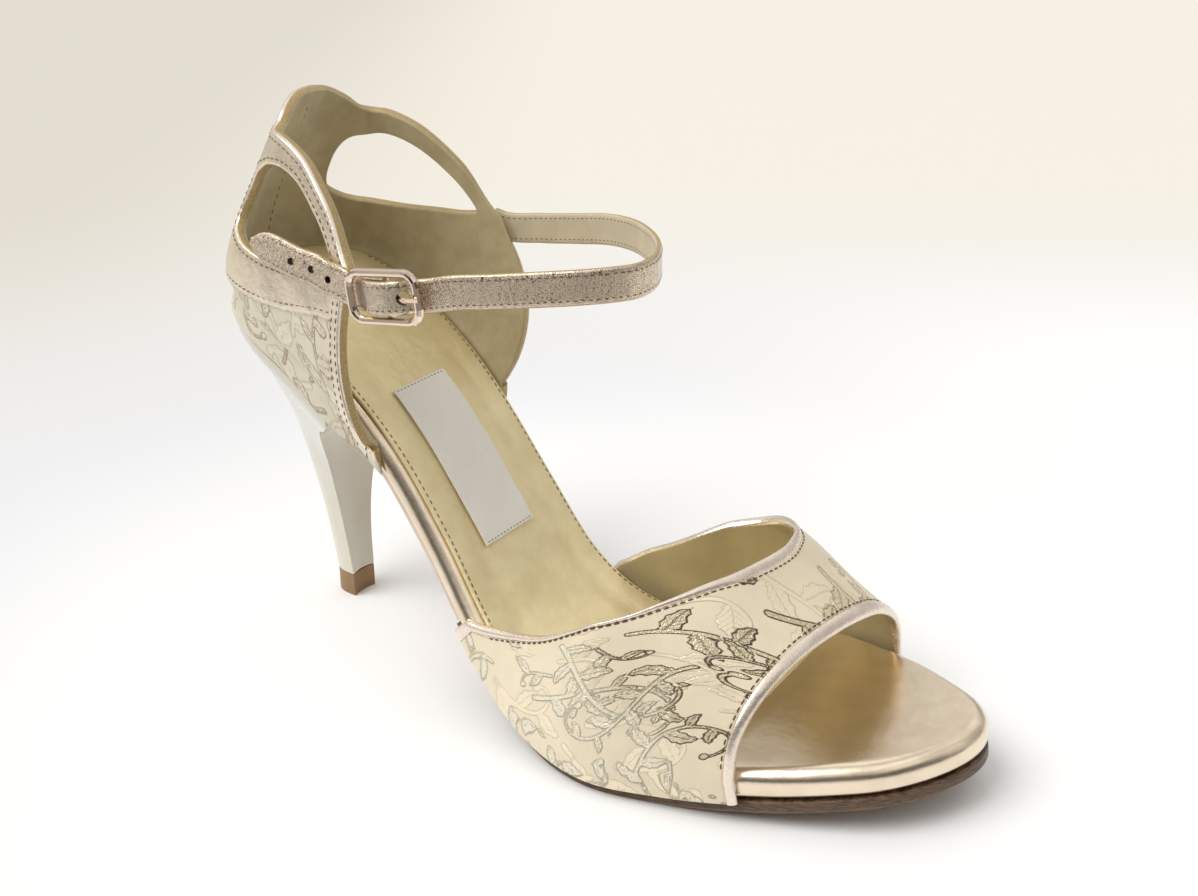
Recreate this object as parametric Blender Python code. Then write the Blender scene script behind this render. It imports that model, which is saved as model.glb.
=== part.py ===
"""A right-foot open-toe tango sandal on a stiletto heel, standing empty on its sole.

Design frame, in metres: x runs along the floor from the back of the insole to the toe, y to the inner side of
the foot, z up from the floor. At the end the whole shoe is moved so that the origin is the bottom centre of its box.
"""

import bpy
import bmesh
import numpy as np
from mathutils import Vector

# Foot bed
FOOT_RUN = 0.2034        # insole, heel to toe tip, measured along the floor
BALL_WIDTH = 0.0820      # insole across the widest part
SEAT_RISE = 0.0873       # top of the insole at the back, above the insole at the ball
TOE_SPRING = 0.0092      # toe tip above the insole at the ball
HEEL_ROUND = 0.0240      # length of the round end at the heel
HEEL_FULLNESS = 2.3      # how square that end is: 2 is an ellipse
TOE_ROUND = 0.0285       # length of the round end at the toe

# Layers under the foot
GAP = 0.0003             # clearance between pieces that touch
BOARD_THICK = 0.0061
BOARD_EDGE = 0.0026      # radius of the wrapped edge
SHANK_THICK = 0.0024
SHANK_INSET = 0.0024     # shank cover behind the edge of the board
OUTSOLE_THICK = 0.0027
OUTSOLE_LIP = -0.0002    # outsole beyond the edge of the board
OUTSOLE_START = 0.0860   # where the shank cover ends and the outsole begins
TREAD_FLAT = 0.0002      # how much the ball is flattened by its stand on the floor
BED_BLEND = 0.0120       # the way square to the bed is taken over this far each way along it
SOCK_THICK = 0.0010
SOCK_INSET = 0.0027
LABEL_THICK = 0.0005
LABEL_START = 0.0493
LABEL_RUN = 0.0295       # along the floor
LABEL_WIDTH = 0.0196
LABEL_ASIDE = -0.0024    # towards the outer side

# Heel
LIFT_HEIGHT = 0.0065
TIP_LENGTH = 0.0082
TIP_WIDTH = 0.0085
TIP_SET_IN = 0.0150      # back of the tip, forward of the back of the insole
HEEL_LIP = 0.0016        # heel seat beyond the edge of the board
BREAST_AT = 0.0460       # front of the heel seat
BREAST_HOLLOW = 0.0006   # how far the breast is scooped at mid-width

# Vamp
VAMP_CLEAR = 0.0005      # the vamp off the edge of the board
VAMP_WALL = 0.0018       # leather and lining together
VAMP_HEIGHT = 0.0440     # top of the vamp above the insole at its rear edge
VAMP_CROWN = 2.13        # how square the vamp's arch is: 2 is an ellipse
BINDING_WIDTH = 0.0023
BINDING_STEP = 0.0006    # the rolled binding stands this far off the vamp

# Quarter
QUARTER_WALL = 0.0022
QUARTER_RUN = 0.0565     # heel back to the quarter's front edge, along the bed
QUARTER_HEIGHT = 0.0440  # top of the tab above the bed at the heel's back
COUNTER_BULGE = 0.0034
BAND_STEP = 0.0006       # the metallic bands stand this far off the counter leather
FRONT_BAND = 0.925       # the front bands begin here, as a share of the way round
OUTER_DIP = -0.0040      # the outer front edge curves back by this much
INNER_DIP = 0.0055       # the inner front edge curves forward by this much
TIP_RUN = 0.0080         # how far the quarter's lower corners run forward under the board
CUTOUT_SHIFT = 0.04      # both cut-outs lie this far round towards the outer side

# Strap and buckle
STRAP_WIDTH = 0.0078
STRAP_THICK = 0.0016
TAIL_TAPER = 0.0085      # the strap's tail narrows over this length
TAIL_CLEAR = 0.0006      # the strap's tail off the quarter
BUCKLE_LENGTH = 0.0200   # between the middles of the wires
BUCKLE_HEIGHT = 0.0112
BUCKLE_CORNER = 0.0032
FRAME_WIRE = 0.0010      # radius
BAR_WIRE = 0.0007        # radius
PRONG_WIRE = 0.0005      # radius
BUCKLE_AT = (0.0686, -0.0354, 0.1046)
BUCKLE_TILT = 8.0        # degrees, front end up
BAR_IN = 0.0015          # centre bar nearer the leg than the frame
ANCHOR_THICK = 0.0007
ANCHOR_WIDTH = 0.0068
PRONG_SLOT = 0.0026
PRONG_HOLE = 0.0018      # radius of the strap's hole round the prong
PUNCH = 0.0010           # radius of the spare holes

SHANK_STACK = BOARD_THICK + GAP + SHANK_THICK
TREAD_STACK = BOARD_THICK + GAP + OUTSOLE_THICK
SEAT_LEVEL = TREAD_STACK + SEAT_RISE

# One row for each section of the foot bed: place along FOOT_RUN, height as a share of SEAT_RISE, spring as a
# share of TOE_SPRING, half-widths of the inner and outer sides as shares of BALL_WIDTH
FOOT_BED = [
    # run, rise, spring, inner, outer
    (0.000, 1.000, 0.00, 0.288, 0.294),
    (0.055, 0.959, 0.00, 0.292, 0.300),
    (0.108, 0.905, 0.00, 0.294, 0.306),
    (0.159, 0.839, 0.00, 0.296, 0.312),
    (0.207, 0.762, 0.00, 0.294, 0.320),
    (0.252, 0.676, 0.00, 0.286, 0.322),
    (0.292, 0.580, 0.00, 0.278, 0.322),
    (0.365, 0.368, 0.00, 0.270, 0.338),
    (0.441, 0.165, 0.00, 0.258, 0.390),
    (0.540, 0.029, 0.00, 0.290, 0.480),
    (0.621, 0.000, 0.00, 0.376, 0.522),
    (0.713, 0.000, 0.07, 0.448, 0.482),
    (0.828, 0.000, 0.42, 0.382, 0.403),
    (0.885, 0.000, 0.63, 0.325, 0.347),
    (0.942, 0.000, 0.83, 0.290, 0.308),
    (1.000, 0.000, 1.00, 0.300, 0.245),
]

# Edges of the vamp, from the outer feather edge (0 degrees) over the foot to the inner one (180): where the
# rear and front edges lie, as shares of FOOT_RUN
VAMP_EDGES = [
    # around, rear, front
    (0, 0.427, 0.797),
    (14, 0.473, 0.803),
    (28, 0.543, 0.813),
    (45, 0.668, 0.826),
    (65, 0.736, 0.839),
    (85, 0.761, 0.849),
    (105, 0.761, 0.855),
    (123, 0.732, 0.856),
    (138, 0.666, 0.856),
    (152, 0.552, 0.854),
    (166, 0.490, 0.850),
    (180, 0.464, 0.846),
]

# Height of the vamp's arch along the foot, as a share of VAMP_HEIGHT
VAMP_ARCH = [
    # run, height
    (0.40, 1.10),
    (0.62, 1.09),
    (0.70, 0.99),
    (0.75, 0.86),
    (0.80, 0.65),
    (0.86, 0.42),
]

# Top edge of the quarter, from the centre back (0) to the front corner (1): forward as a share of QUARTER_RUN,
# out as a share of BALL_WIDTH, up from the bed at the heel's back as a share of QUARTER_HEIGHT
QUARTER_TOP = [
    # around, forward, out, up
    (0.00, 0.333, 0.000, 1.000),
    (0.10, 0.336, 0.056, 0.984),
    (0.20, 0.354, 0.108, 0.930),
    (0.27, 0.378, 0.153, 0.866),
    (0.31, 0.393, 0.187, 0.838),
    (0.36, 0.439, 0.206, 0.832),
    (0.46, 0.531, 0.226, 0.795),
    (0.58, 0.637, 0.246, 0.723),
    (0.70, 0.743, 0.273, 0.605),
    (0.82, 0.832, 0.295, 0.475),
    (0.91, 0.903, 0.318, 0.339),
    (1.00, 0.965, 0.341, 0.241),
]

# Seam between the counter leather and the metallic band, as a share of the wall's height
QUARTER_SEAM = [
    # around, up
    (0.00, 0.060),
    (0.20, 0.055),
    (0.40, 0.085),
    (0.60, 0.200),
    (0.80, 0.430),
    (1.00, 0.720),
]

# How far the quarter reaches down past the edge of the insole, in the same measure as up
QUARTER_SKIRT = [
    # around, reach
    (0.00, 0.95),
    (0.60, 0.95),
    (0.88, 0.90),
    (1.00, 0.55),
]

# Teardrop cut-out, in the quarter's own coordinates
CUTOUT = [
    # around, up
    (0.270, 0.370),
    (0.360, 0.345),
    (0.480, 0.385),
    (0.600, 0.475),
    (0.720, 0.600),
    (0.810, 0.710),
    (0.862, 0.800),
    (0.800, 0.845),
    (0.700, 0.862),
    (0.580, 0.868),
    (0.460, 0.862),
    (0.370, 0.835),
    (0.300, 0.775),
    (0.258, 0.660),
    (0.242, 0.520),
    (0.246, 0.425),
]
CUTOUT_CENTRE = (0.47, 0.66)

# Heel between its seat (0) and its tip (1): how far the back, the breast and the half-width have gone from
# their size at the seat to their size at the tip
HEEL_SECTIONS = [
    # down, back, breast, width
    (0.00, 0.000, 0.000, 0.000),
    (0.05, 0.002, 0.260, 0.100),
    (0.10, 0.015, 0.480, 0.220),
    (0.17, 0.070, 0.700, 0.375),
    (0.27, 0.220, 0.885, 0.560),
    (0.38, 0.415, 1.000, 0.715),
    (0.50, 0.570, 1.057, 0.820),
    (0.65, 0.725, 1.070, 0.905),
    (0.82, 0.880, 1.046, 0.964),
    (1.00, 1.000, 1.000, 1.000),
]

# The strap's free loop, from the inner side round in front of the ankle to the buckle
STRAP_LOOP = [
    (0.0645, 0.0322, 0.1048),
    (0.0760, 0.0306, 0.1067),
    (0.0893, 0.0268, 0.1092),
    (0.1000, 0.0210, 0.1105),
    (0.1085, 0.0140, 0.1109),
    (0.1145, 0.0070, 0.1114),
    (0.1195, -0.0010, 0.1119),
    (0.1224, -0.0085, 0.1121),
    (0.1223, -0.0150, 0.1121),
    (0.1195, -0.0198, 0.1121),
    (0.1145, -0.0243, 0.1118),
    (0.1060, -0.0280, 0.1108),
    (0.0960, -0.0309, 0.1094),
    (0.0870, -0.0326, 0.1081),
]

# Where the strap is sewn on outside the inner side, in the quarter's own coordinates
STRAP_ROOT = [
    # around, up
    (0.860, 0.760),
    (0.930, 0.860),
]

# The strap's tail on the outer side, in the quarter's own coordinates
STRAP_TAIL = [
    # around, up
    (-0.975, 0.905),
    (-0.880, 0.785),
    (-0.780, 0.665),
    (-0.680, 0.570),
    (-0.580, 0.498),
    (-0.480, 0.440),
]

# The middle of the strap through the buckle, in the buckle's own frame: forward and outward from its centre
STRAP_THROUGH = [
    # forward, outward
    (0.0100, -0.0023),
    (0.0075, -0.0016),
    (0.0035, 0.0008),
    (0.0000, 0.0014),
    (-0.0035, 0.0008),
    (-0.0075, -0.0016),
    (-0.0100, -0.0023),
]

# The strip that holds the buckle, from the quarter's edge forward, round the centre bar and back
ANCHOR_PATH = [
    # forward, outward
    (-0.0138, -0.0056),
    (-0.0110, -0.0046),
    (-0.0070, -0.0038),
    (-0.0030, -0.0032),
    (0.0000, -0.00287),
    (0.00097, -0.00247),
    (0.00137, -0.0015),
    (0.00097, -0.00053),
    (0.0000, -0.00013),
    (-0.0012, -0.00045),
    (-0.0024, -0.00100),
]

# The prong: round the bar, up through the strap and over the front of the frame
PRONG_PATH = [
    # forward, outward
    (-0.00150, -0.0020),
    (-0.00150, -0.0010),
    (-0.00080, -0.00012),
    (0.00040, 0.00007),
    (0.00130, -0.00060),
    (0.0040, -0.00080),
    (0.0052, -0.00010),
    (0.0064, 0.00140),
    (0.0078, 0.00185),
    (0.0100, 0.00185),
    (0.0116, 0.00165),
]
PRONG_THROUGH = 0.0057   # where the prong passes the strap, forward of the centre bar

# Spare holes of the strap, as shares of the way from the first point of the tail to its end
SPARE_HOLES = (0.10, 0.335, 0.57)

# How finely the long pieces are divided
BED_STATIONS = 36
VAMP_AROUND = 38
VAMP_ALONG = 12
QUARTER_AROUND = 44
HEEL_AROUND = 18


def smooth(xs, ys):
    """A smooth curve through the points, as a function that runs on straight beyond its ends."""
    xs = np.asarray(xs, float)
    ys = np.asarray(ys, float)
    slope = np.gradient(ys, xs)

    def value(x):
        x = np.asarray(x, float)
        inside = np.clip(x, xs[0], xs[-1])
        i = np.clip(np.searchsorted(xs, inside, side="right") - 1, 0, len(xs) - 2)
        step = xs[i + 1] - xs[i]
        t = (inside - xs[i]) / step
        curve = (1 + 2 * t) * (1 - t) ** 2 * ys[i] + t * (1 - t) ** 2 * step * slope[i]
        curve = curve + t * t * (3 - 2 * t) * ys[i + 1] + t * t * (t - 1) * step * slope[i + 1]
        beyond = np.where(x < xs[0], slope[0], slope[-1]) * (x - inside)
        return curve + beyond

    return value


def column(table, index):
    return smooth([row[0] for row in table], [row[index] for row in table])


rise_share, spring_share, inner_share, outer_share = [column(FOOT_BED, k) for k in (1, 2, 3, 4)]
vamp_rear, vamp_front = [column(VAMP_EDGES, k) for k in (1, 2)]
arch_share = column(VAMP_ARCH, 1)
top_forward, top_out, top_up = [column(QUARTER_TOP, k) for k in (1, 2, 3)]
quarter_seam = column(QUARTER_SEAM, 1)
skirt_reach = column(QUARTER_SKIRT, 1)
heel_back, heel_breast, heel_width = [column(HEEL_SECTIONS, k) for k in (1, 2, 3)]


def unit(vectors):
    return vectors / np.linalg.norm(vectors, axis=-1, keepdims=True)


# The foot bed


def bed_height(x):
    share = np.asarray(x) / FOOT_RUN
    return TREAD_STACK + SEAT_RISE * rise_share(share) + TOE_SPRING * spring_share(share)


def bed_slope(x):
    rise = bed_height(x + BED_BLEND) - bed_height(x - BED_BLEND)
    return np.arctan2(rise, 2 * BED_BLEND)


def bed_point(x, y, up):
    """The point at x and y on top of the insole, moved off it by up, square to it."""
    slope = bed_slope(x)
    return np.stack(np.broadcast_arrays(x - up * np.sin(slope), y, bed_height(x) + up * np.cos(slope)), -1)


def end_round(x):
    """1 along the foot, falling to 0 at the heel's back and at the toe's tip."""
    back = np.clip(1 - x / HEEL_ROUND, 0, 1)
    front = np.clip(1 - (FOOT_RUN - x) / TOE_ROUND, 0, 1)
    return (1 - back**HEEL_FULLNESS) ** (1 / HEEL_FULLNESS) * (1 - front**2) ** 0.5


def edge(x, side):
    """y of the insole's outline: side 1 is the inner side of the foot, -1 the outer side."""
    share = np.asarray(x) / FOOT_RUN
    inner = BALL_WIDTH * inner_share(share)
    outer = BALL_WIDTH * outer_share(share)
    middle = (inner - outer) / 2 * np.clip(x / HEEL_ROUND, 0, 1)
    return middle + side * (inner + outer) / 2 * end_round(x)


def side_line(side, inset):
    """One side of the insole's outline from heel to toe, moved inwards by inset."""
    x = FOOT_RUN * (1 - np.cos(np.linspace(0, np.pi, 401))) / 2
    y = edge(x, side)
    along = unit(np.stack([np.gradient(x), np.gradient(y)], -1))
    return x + side * inset * along[:, 1], y - side * inset * along[:, 0]


def ring(inset, start, end, count):
    """Plan points of the outer and inner sides of the inset outline, which meet at a round end."""
    lines = {side: side_line(side, inset) for side in (-1, 1)}
    low = max(start, (lines[-1][0][0] + lines[1][0][0]) / 2)
    high = min(end, (lines[-1][0][-1] + lines[1][0][-1]) / 2)
    x = low + (high - low) * (1 - np.cos(np.linspace(0, np.pi, count))) / 2
    outer, inner = [np.interp(x, *lines[side]) for side in (-1, 1)]
    for place, is_round in ((0, low > start), (-1, high < end)):
        if is_round:
            outer[place] = inner[place] = (outer[place] + inner[place]) / 2
    return x, outer, inner


# Meshes


def new_object(name, points, faces, material):
    mesh = bpy.data.meshes.new(name)
    mesh.from_pydata([tuple(point) for point in points], [], faces)
    work = bmesh.new()
    work.from_mesh(mesh)
    bmesh.ops.remove_doubles(work, verts=work.verts, dist=0.000002)
    bmesh.ops.dissolve_degenerate(work, edges=work.edges, dist=0.000002)
    bmesh.ops.recalc_face_normals(work, faces=work.faces)
    work.to_mesh(mesh)
    work.free()
    mesh.shade_smooth()
    mesh.set_sharp_from_angle(angle=np.radians(40))
    mesh.materials.append(material)
    made = bpy.data.objects.new(name, mesh)
    shoe_parts.objects.link(made)
    return made


def shell(name, top, bottom, material, close_start=True, close_end=True):
    """A closed body between two grids of points with the same rows and columns."""
    rows, columns = top.shape[:2]
    points = np.concatenate([top.reshape(-1, 3), bottom.reshape(-1, 3)])

    def at(layer, i, j):
        return layer * rows * columns + i * columns + j

    faces = []
    for i in range(rows - 1):
        for j in range(columns - 1):
            corners = [(i, j), (i + 1, j), (i + 1, j + 1), (i, j + 1)]
            faces.append([at(0, *corner) for corner in corners])
            faces.append([at(1, *corner) for corner in reversed(corners)])
        for j in (0, columns - 1):
            faces.append([at(0, i, j), at(1, i, j), at(1, i + 1, j), at(0, i + 1, j)])
    ends = ([0] if close_start else []) + ([rows - 1] if close_end else [])
    for i in ends:
        for j in range(columns - 1):
            faces.append([at(0, i, j), at(0, i, j + 1), at(1, i, j + 1), at(1, i, j)])
    return new_object(name, points, faces, material)


def loft(name, sections, material):
    """A closed body through closed loops of points, with flat or gently curved end caps."""
    count = len(sections[0])
    points = np.concatenate(sections)
    faces = []
    for k in range(len(sections) - 1):
        for j in range(count):
            here = k * count + j
            following = k * count + (j + 1) % count
            faces.append([here, following, following + count, here + count])
    faces.append(list(range(count)))
    faces.append([(len(sections) - 1) * count + j for j in range(count)])
    return new_object(name, points, faces, material)


def slab(name, material, high, low, inset=0.0, radius=0.0, start=-1.0, end=1.0, floor=None):
    """A layer that follows the foot bed between two offsets, with rounded edges, cut square at start and end."""
    rounds = [(1 - np.cos(turn), 1 - np.sin(turn)) for turn in np.radians((0, 40, 90))]
    if radius == 0:
        rounds = [(0.0, 0.0)]

    def surface(level, away):
        across = []
        rings = []
        for share_in, share_down in rounds:
            x, outer, inner = ring(inset + radius * share_in, start, end, BED_STATIONS)
            rings.append((x, outer, inner, level + away * radius * share_down))
        for x, outer, inner, offset in rings:
            across.append(bed_point(x, outer, offset))
        x, outer, inner, offset = rings[-1]
        for share in (0.25, 0.5, 0.75):
            across.append(bed_point(x, outer + (inner - outer) * share, offset))
        for x, outer, inner, offset in reversed(rings):
            across.append(bed_point(x, inner, offset))
        grid = np.stack(across, 1)
        if floor is not None:
            grid[..., 2] = np.maximum(grid[..., 2], floor)
        return grid

    cut_start = start > inset
    cut_end = end < FOOT_RUN - inset
    return shell(name, surface(high, -1), surface(low, 1), material, cut_start, cut_end)


# The soles and the foot bed


def make_bed(looks):
    slab("insole_board", looks["rose_gold"], 0.0, -BOARD_THICK, radius=BOARD_EDGE)
    slab("sock", looks["sock_gold"], GAP + SOCK_THICK, GAP, inset=SOCK_INSET, radius=0.0004)
    shank_top = -BOARD_THICK - GAP
    shank_end = OUTSOLE_START - GAP / 2
    slab("shank_cover", looks["pale_pink"], shank_top, shank_top - SHANK_THICK, inset=SHANK_INSET,
         radius=0.0008, end=shank_end)
    start = OUTSOLE_START + GAP / 2
    make_outsole(looks["brown_leather"], shank_top, start)


def make_outsole(material, top, start):
    """The forefoot sole: narrow where it meets the shank cover, full under the vamp and toe, flat at the ball."""
    def lip(x):
        full = FOOT_RUN * 0.58
        share = np.clip((full - x) / (full - start), 0, 1)
        return OUTSOLE_LIP - (OUTSOLE_LIP + SHANK_INSET) * share

    def surface(level):
        across = []
        x, outer, inner = ring(-OUTSOLE_LIP, start, 1.0, BED_STATIONS)
        shift = OUTSOLE_LIP - lip(x)
        outer, inner = outer + shift, inner - shift
        for share in (0, 0.25, 0.5, 0.75, 1):
            across.append(bed_point(x, outer + (inner - outer) * share, level))
        return np.stack(across, 1)

    upper = surface(top)
    lower = surface(top - OUTSOLE_THICK - TREAD_FLAT)
    lower[..., 2] = np.maximum(lower[..., 2], 0.0)
    shell("outsole", upper, lower, material, True, False)


def make_label(material):
    """The bare woven label, lying along the middle of the sock."""
    low = GAP + SOCK_THICK + GAP
    x = np.linspace(LABEL_START, LABEL_START + LABEL_RUN, 9)
    middle = (edge(x, 1) + edge(x, -1)) / 2 + LABEL_ASIDE
    across = [-0.5, 0.0, 0.5]
    grids = []
    for level in (low + LABEL_THICK, low):
        grids.append(np.stack([bed_point(x, middle + LABEL_WIDTH * share, level) for share in across], 1))
    shell("label", grids[0], grids[1], material)


# The heel


def d_shape():
    """Shares of a heel section's length and half-width, round the back from the outer to the inner corner."""
    turn = np.linspace(-np.pi / 2, np.pi / 2, HEEL_AROUND)
    back = np.abs(np.cos(turn)) ** (2 / HEEL_FULLNESS)
    out = np.sign(turn) * np.abs(np.sin(turn)) ** (2 / HEEL_FULLNESS)
    return back, out


def breast_line(first, last):
    """Points across the breast between the two corners, scooped a little at mid-width."""
    shares = np.array([0.2, 0.4, 0.6, 0.8])[:, None]
    line = first + (last - first) * shares
    line[:, 0] -= BREAST_HOLLOW * np.sin(np.pi * shares[:, 0])
    return line


def heel_tip_section(z):
    back, out = d_shape()
    x = TIP_SET_IN + TIP_LENGTH * (1 - back)
    return np.stack([x, out * TIP_WIDTH / 2, np.full(len(x), z)], -1)


def heel_seat_section():
    """The heel's top edge, against the underside of the shank cover and the quarter."""
    back, out = d_shape()
    lines = {side: side_line(side, -HEEL_LIP) for side in (-1, 1)}
    x = BREAST_AT - (BREAST_AT + HEEL_LIP) * back
    outer, inner = [np.interp(x, *lines[side]) for side in (-1, 1)]
    y = np.where(out < 0, outer, inner)
    return bed_point(x, y, -(SHANK_STACK + GAP))


def make_heel(looks):
    back, out = d_shape()
    seat = heel_seat_section()
    tip = heel_tip_section(LIFT_HEIGHT + GAP)
    seat_back = seat[:, 0].min()
    seat_front = seat[0, 0]
    seat_half = (seat[-1, 1] - seat[0, 1]) / 2
    sections = []
    for down in (0, 0.03, 0.07, 0.12, 0.18, 0.26, 0.36, 0.48, 0.62, 0.8, 1.0):
        rear = seat_back + (TIP_SET_IN - seat_back) * heel_back(down)
        front = seat_front + (TIP_SET_IN + TIP_LENGTH - seat_front) * heel_breast(down)
        half = seat_half + (TIP_WIDTH / 2 - seat_half) * heel_width(down)
        shape = np.stack([front - (front - rear) * back, out * half, out * 0], -1)
        own = min(1.0, down / 0.15)
        section = seat + (shape - seat) * own
        section[:, 2] = seat[:, 2] + (tip[:, 2] - seat[:, 2]) * down
        sections.append(np.concatenate([section, breast_line(section[-1], section[0])]))
    loft("heel", sections, looks["ivory_gloss"])
    lift = []
    for z in (0.0, LIFT_HEIGHT):
        section = heel_tip_section(z)
        lift.append(np.concatenate([section, breast_line(section[-1], section[0])]))
    loft("top_lift", lift, looks["tan_rubber"])


# The vamp


def vamp_point(around, along, out):
    """A point of the vamp: around in degrees, along 0 at the rear edge and 1 at the front, out from the foot.

    Below 0 and above 180 degrees the wall drops past the board's edge to the outsole, over 20 degrees.
    """
    over = np.clip(around, 0, 180)
    drop = (np.abs(around - over) / 20) * BOARD_THICK
    share = vamp_rear(over) + (vamp_front(over) - vamp_rear(over)) * along
    x = FOOT_RUN * share
    tuck = 1 - 0.35 * drop / BOARD_THICK
    outer = edge(x, -1) - VAMP_CLEAR - out * tuck
    inner = edge(x, 1) + VAMP_CLEAR + out * tuck
    turn = np.radians(over)
    wide = -np.sign(np.cos(turn)) * np.abs(np.cos(turn)) ** (2 / VAMP_CROWN)
    high = np.abs(np.sin(turn)) ** (2 / VAMP_CROWN)
    y = (inner + outer) / 2 + (inner - outer) / 2 * wide
    up = (VAMP_HEIGHT * arch_share(share) + out) * high - drop
    return bed_point(x, y, up)


def make_vamp(looks):
    angles = np.concatenate([[-20, -10], 180 * np.linspace(0, 1, VAMP_AROUND), [190, 200]])
    outer_rows = []
    inner_rows = []
    for around in angles:
        over = np.clip(around, 0, 180)
        length = FOOT_RUN * (vamp_front(over) - vamp_rear(over))
        band = BINDING_WIDTH / max(length, 4 * BINDING_WIDTH)
        field = np.linspace(band * 1.15, 1 - band * 1.15, VAMP_ALONG)
        along = np.concatenate([[0, band], field, [1 - band, 1]])
        step = BINDING_STEP * np.array([1, 1] + [0] * VAMP_ALONG + [1, 1])
        outer_rows.append(vamp_point(around, along, VAMP_WALL + step))
        inner_rows.append(vamp_point(around, along, 0.0))
    shell("vamp", np.array(outer_rows), np.array(inner_rows), looks["cream_leather"])


# The quarter


def seat_line(side):
    """The feather edge of one side of the quarter, from the centre back forward, by its own length."""
    x = QUARTER_RUN * (1 - np.cos(np.linspace(0, np.pi / 2, 200)))
    y = edge(x, side)
    length = np.concatenate([[0], np.cumsum(np.hypot(np.diff(x), np.diff(y)))])
    return length / length[-1], x


SEAT_LINES = {side: seat_line(side) for side in (-1, 1)}


def quarter_base(around, up):
    """Inner face of the quarter: around from -1 (outer front) to 1 (inner front), up 0 at the feather edge, 1 at
    the top, and down to -1 at the underside of the shank."""
    around, up = np.broadcast_arrays(np.asarray(around, float), np.asarray(up, float))
    part = np.abs(around)
    rise = np.clip(up, 0, None)
    drop = np.clip(-up, 0, None)
    x = np.where(around < 0, np.interp(part, *SEAT_LINES[-1]), np.interp(part, *SEAT_LINES[1]))
    x = x + TIP_RUN * part**3 * drop
    foot = bed_point(x, np.where(around < 0, edge(x, -1), edge(x, 1)), -drop * SHANK_STACK)
    side = np.sign(around)
    top = np.stack([top_forward(part) * QUARTER_RUN, side * top_out(part) * BALL_WIDTH,
                    SEAT_LEVEL + top_up(part) * QUARTER_HEIGHT], -1)
    swell = COUNTER_BULGE * np.sin(np.pi * np.clip(rise, 0, 1) ** 0.5)
    away = np.stack([-np.cos(part * np.pi / 2), side * np.sin(part * np.pi / 2), 0 * part], -1)
    point = foot + (top - foot) * rise[..., None] + away * swell[..., None]
    point[..., 0] += np.where(around < 0, OUTER_DIP, INNER_DIP) * part**3 * np.sin(np.pi * np.clip(rise, 0, 1))
    return point


def quarter_point(around, up, out):
    """A point of the quarter, moved out from its inner face, square to it."""
    around, up = np.broadcast_arrays(np.asarray(around, float), np.asarray(up, float))
    small = 0.004
    tall = 0.08
    round_way = quarter_base(around + small, up) - quarter_base(around - small, up)
    up_way = quarter_base(around, up + tall) - quarter_base(around, up - tall)
    return quarter_base(around, up) + unit(np.cross(up_way, round_way)) * (np.asarray(out) + GAP)[..., None]


def quarter_wall(around, up):
    """Thickness of the quarter: a step stronger on the metallic bands, above the seam and along the front."""
    part = np.abs(around)
    banded = (up >= quarter_seam(part) - 1e-9) | ((part >= FRONT_BAND - 1e-9) & (up > 0))
    return QUARTER_WALL + BAND_STEP * banded


def make_quarter(looks):
    half = np.linspace(0, 1, QUARTER_AROUND // 2 + 1)
    half = np.sort(np.concatenate([half[half < FRONT_BAND - 0.02], [FRONT_BAND - 0.012, FRONT_BAND, 1]]))
    around = np.concatenate([-half[:0:-1], half])
    rows = []
    inner_rows = []
    for place in around:
        seam = float(quarter_seam(abs(place)))
        under = -float(skirt_reach(abs(place))) * np.array([1.0, 0.5, 0.0])
        below = seam * np.array([0.35, 0.7]) if seam > 0.15 else np.array([seam * 0.3, seam * 0.6])
        above = seam + (1 - seam) * np.array([0, 0.16, 0.33, 0.5, 0.67, 0.84, 1.0])
        ups = np.concatenate([under, below, [seam - 0.012], above])
        wall = quarter_wall(place, ups)
        rows.append(quarter_point(place, ups, wall))
        inner_rows.append(quarter_point(place, ups, ups * 0))
    quarter = shell("quarter", np.array(rows), np.array(inner_rows), looks["cream_leather"])
    for side in (-1, 1):
        plug = plug_object("cutout_plug_" + ("outer" if side < 0 else "inner"), cutout_loops(side))
        cut_with(quarter, plug)


def cutout_loops(side):
    """Rings of a plug with the cut-out's outline, through the wall of one side of the quarter."""
    table = np.array(CUTOUT)
    count = len(table)
    place = np.arange(-2, count + 3)
    turn = np.linspace(0, count, 2 * count, endpoint=False)
    outline = np.stack([smooth(place, table[place % count, k])(turn) for k in (0, 1)], -1)
    outline[:, 0] -= CUTOUT_SHIFT * side
    centre = np.array(CUTOUT_CENTRE) - (CUTOUT_SHIFT * side, 0)
    loops = []
    for out, shares in ((-0.004, (0.0, 0.5, 1.0)), (QUARTER_WALL + BAND_STEP + 0.004, (1.0, 0.5, 0.0))):
        for share in shares:
            flat = centre + (outline - centre) * share
            loops.append(quarter_point(side * flat[:, 0], flat[:, 1], np.full(len(flat), out)))
    return loops


def plug_object(name, loops):
    """A closed body from rings of which the first and last are points."""
    count = len(loops[0])
    points = np.concatenate([loops[0][:1]] + loops[1:-1] + [loops[-1][:1]])
    faces = []
    for j in range(count):
        faces.append([0, 1 + j, 1 + (j + 1) % count])
    for k in range(len(loops) - 3):
        for j in range(count):
            here = 1 + k * count + j
            following = 1 + k * count + (j + 1) % count
            faces.append([here, following, following + count, here + count])
    last = 1 + (len(loops) - 3) * count
    for j in range(count):
        faces.append([len(points) - 1, last + (j + 1) % count, last + j])
    return new_object(name, points, faces, None)


def cut_with(target, plug):
    """Cuts the plug from the target, and moves the plug to the collection of helpers."""
    shoe_parts.objects.unlink(plug)
    helpers.objects.link(plug)
    plug.hide_render = True
    plug.display_type = "WIRE"
    cut = target.modifiers.new("cut " + plug.name, "BOOLEAN")
    cut.operation = "DIFFERENCE"
    cut.solver = "EXACT"
    cut.object = plug


# The strap and the buckle


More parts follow.
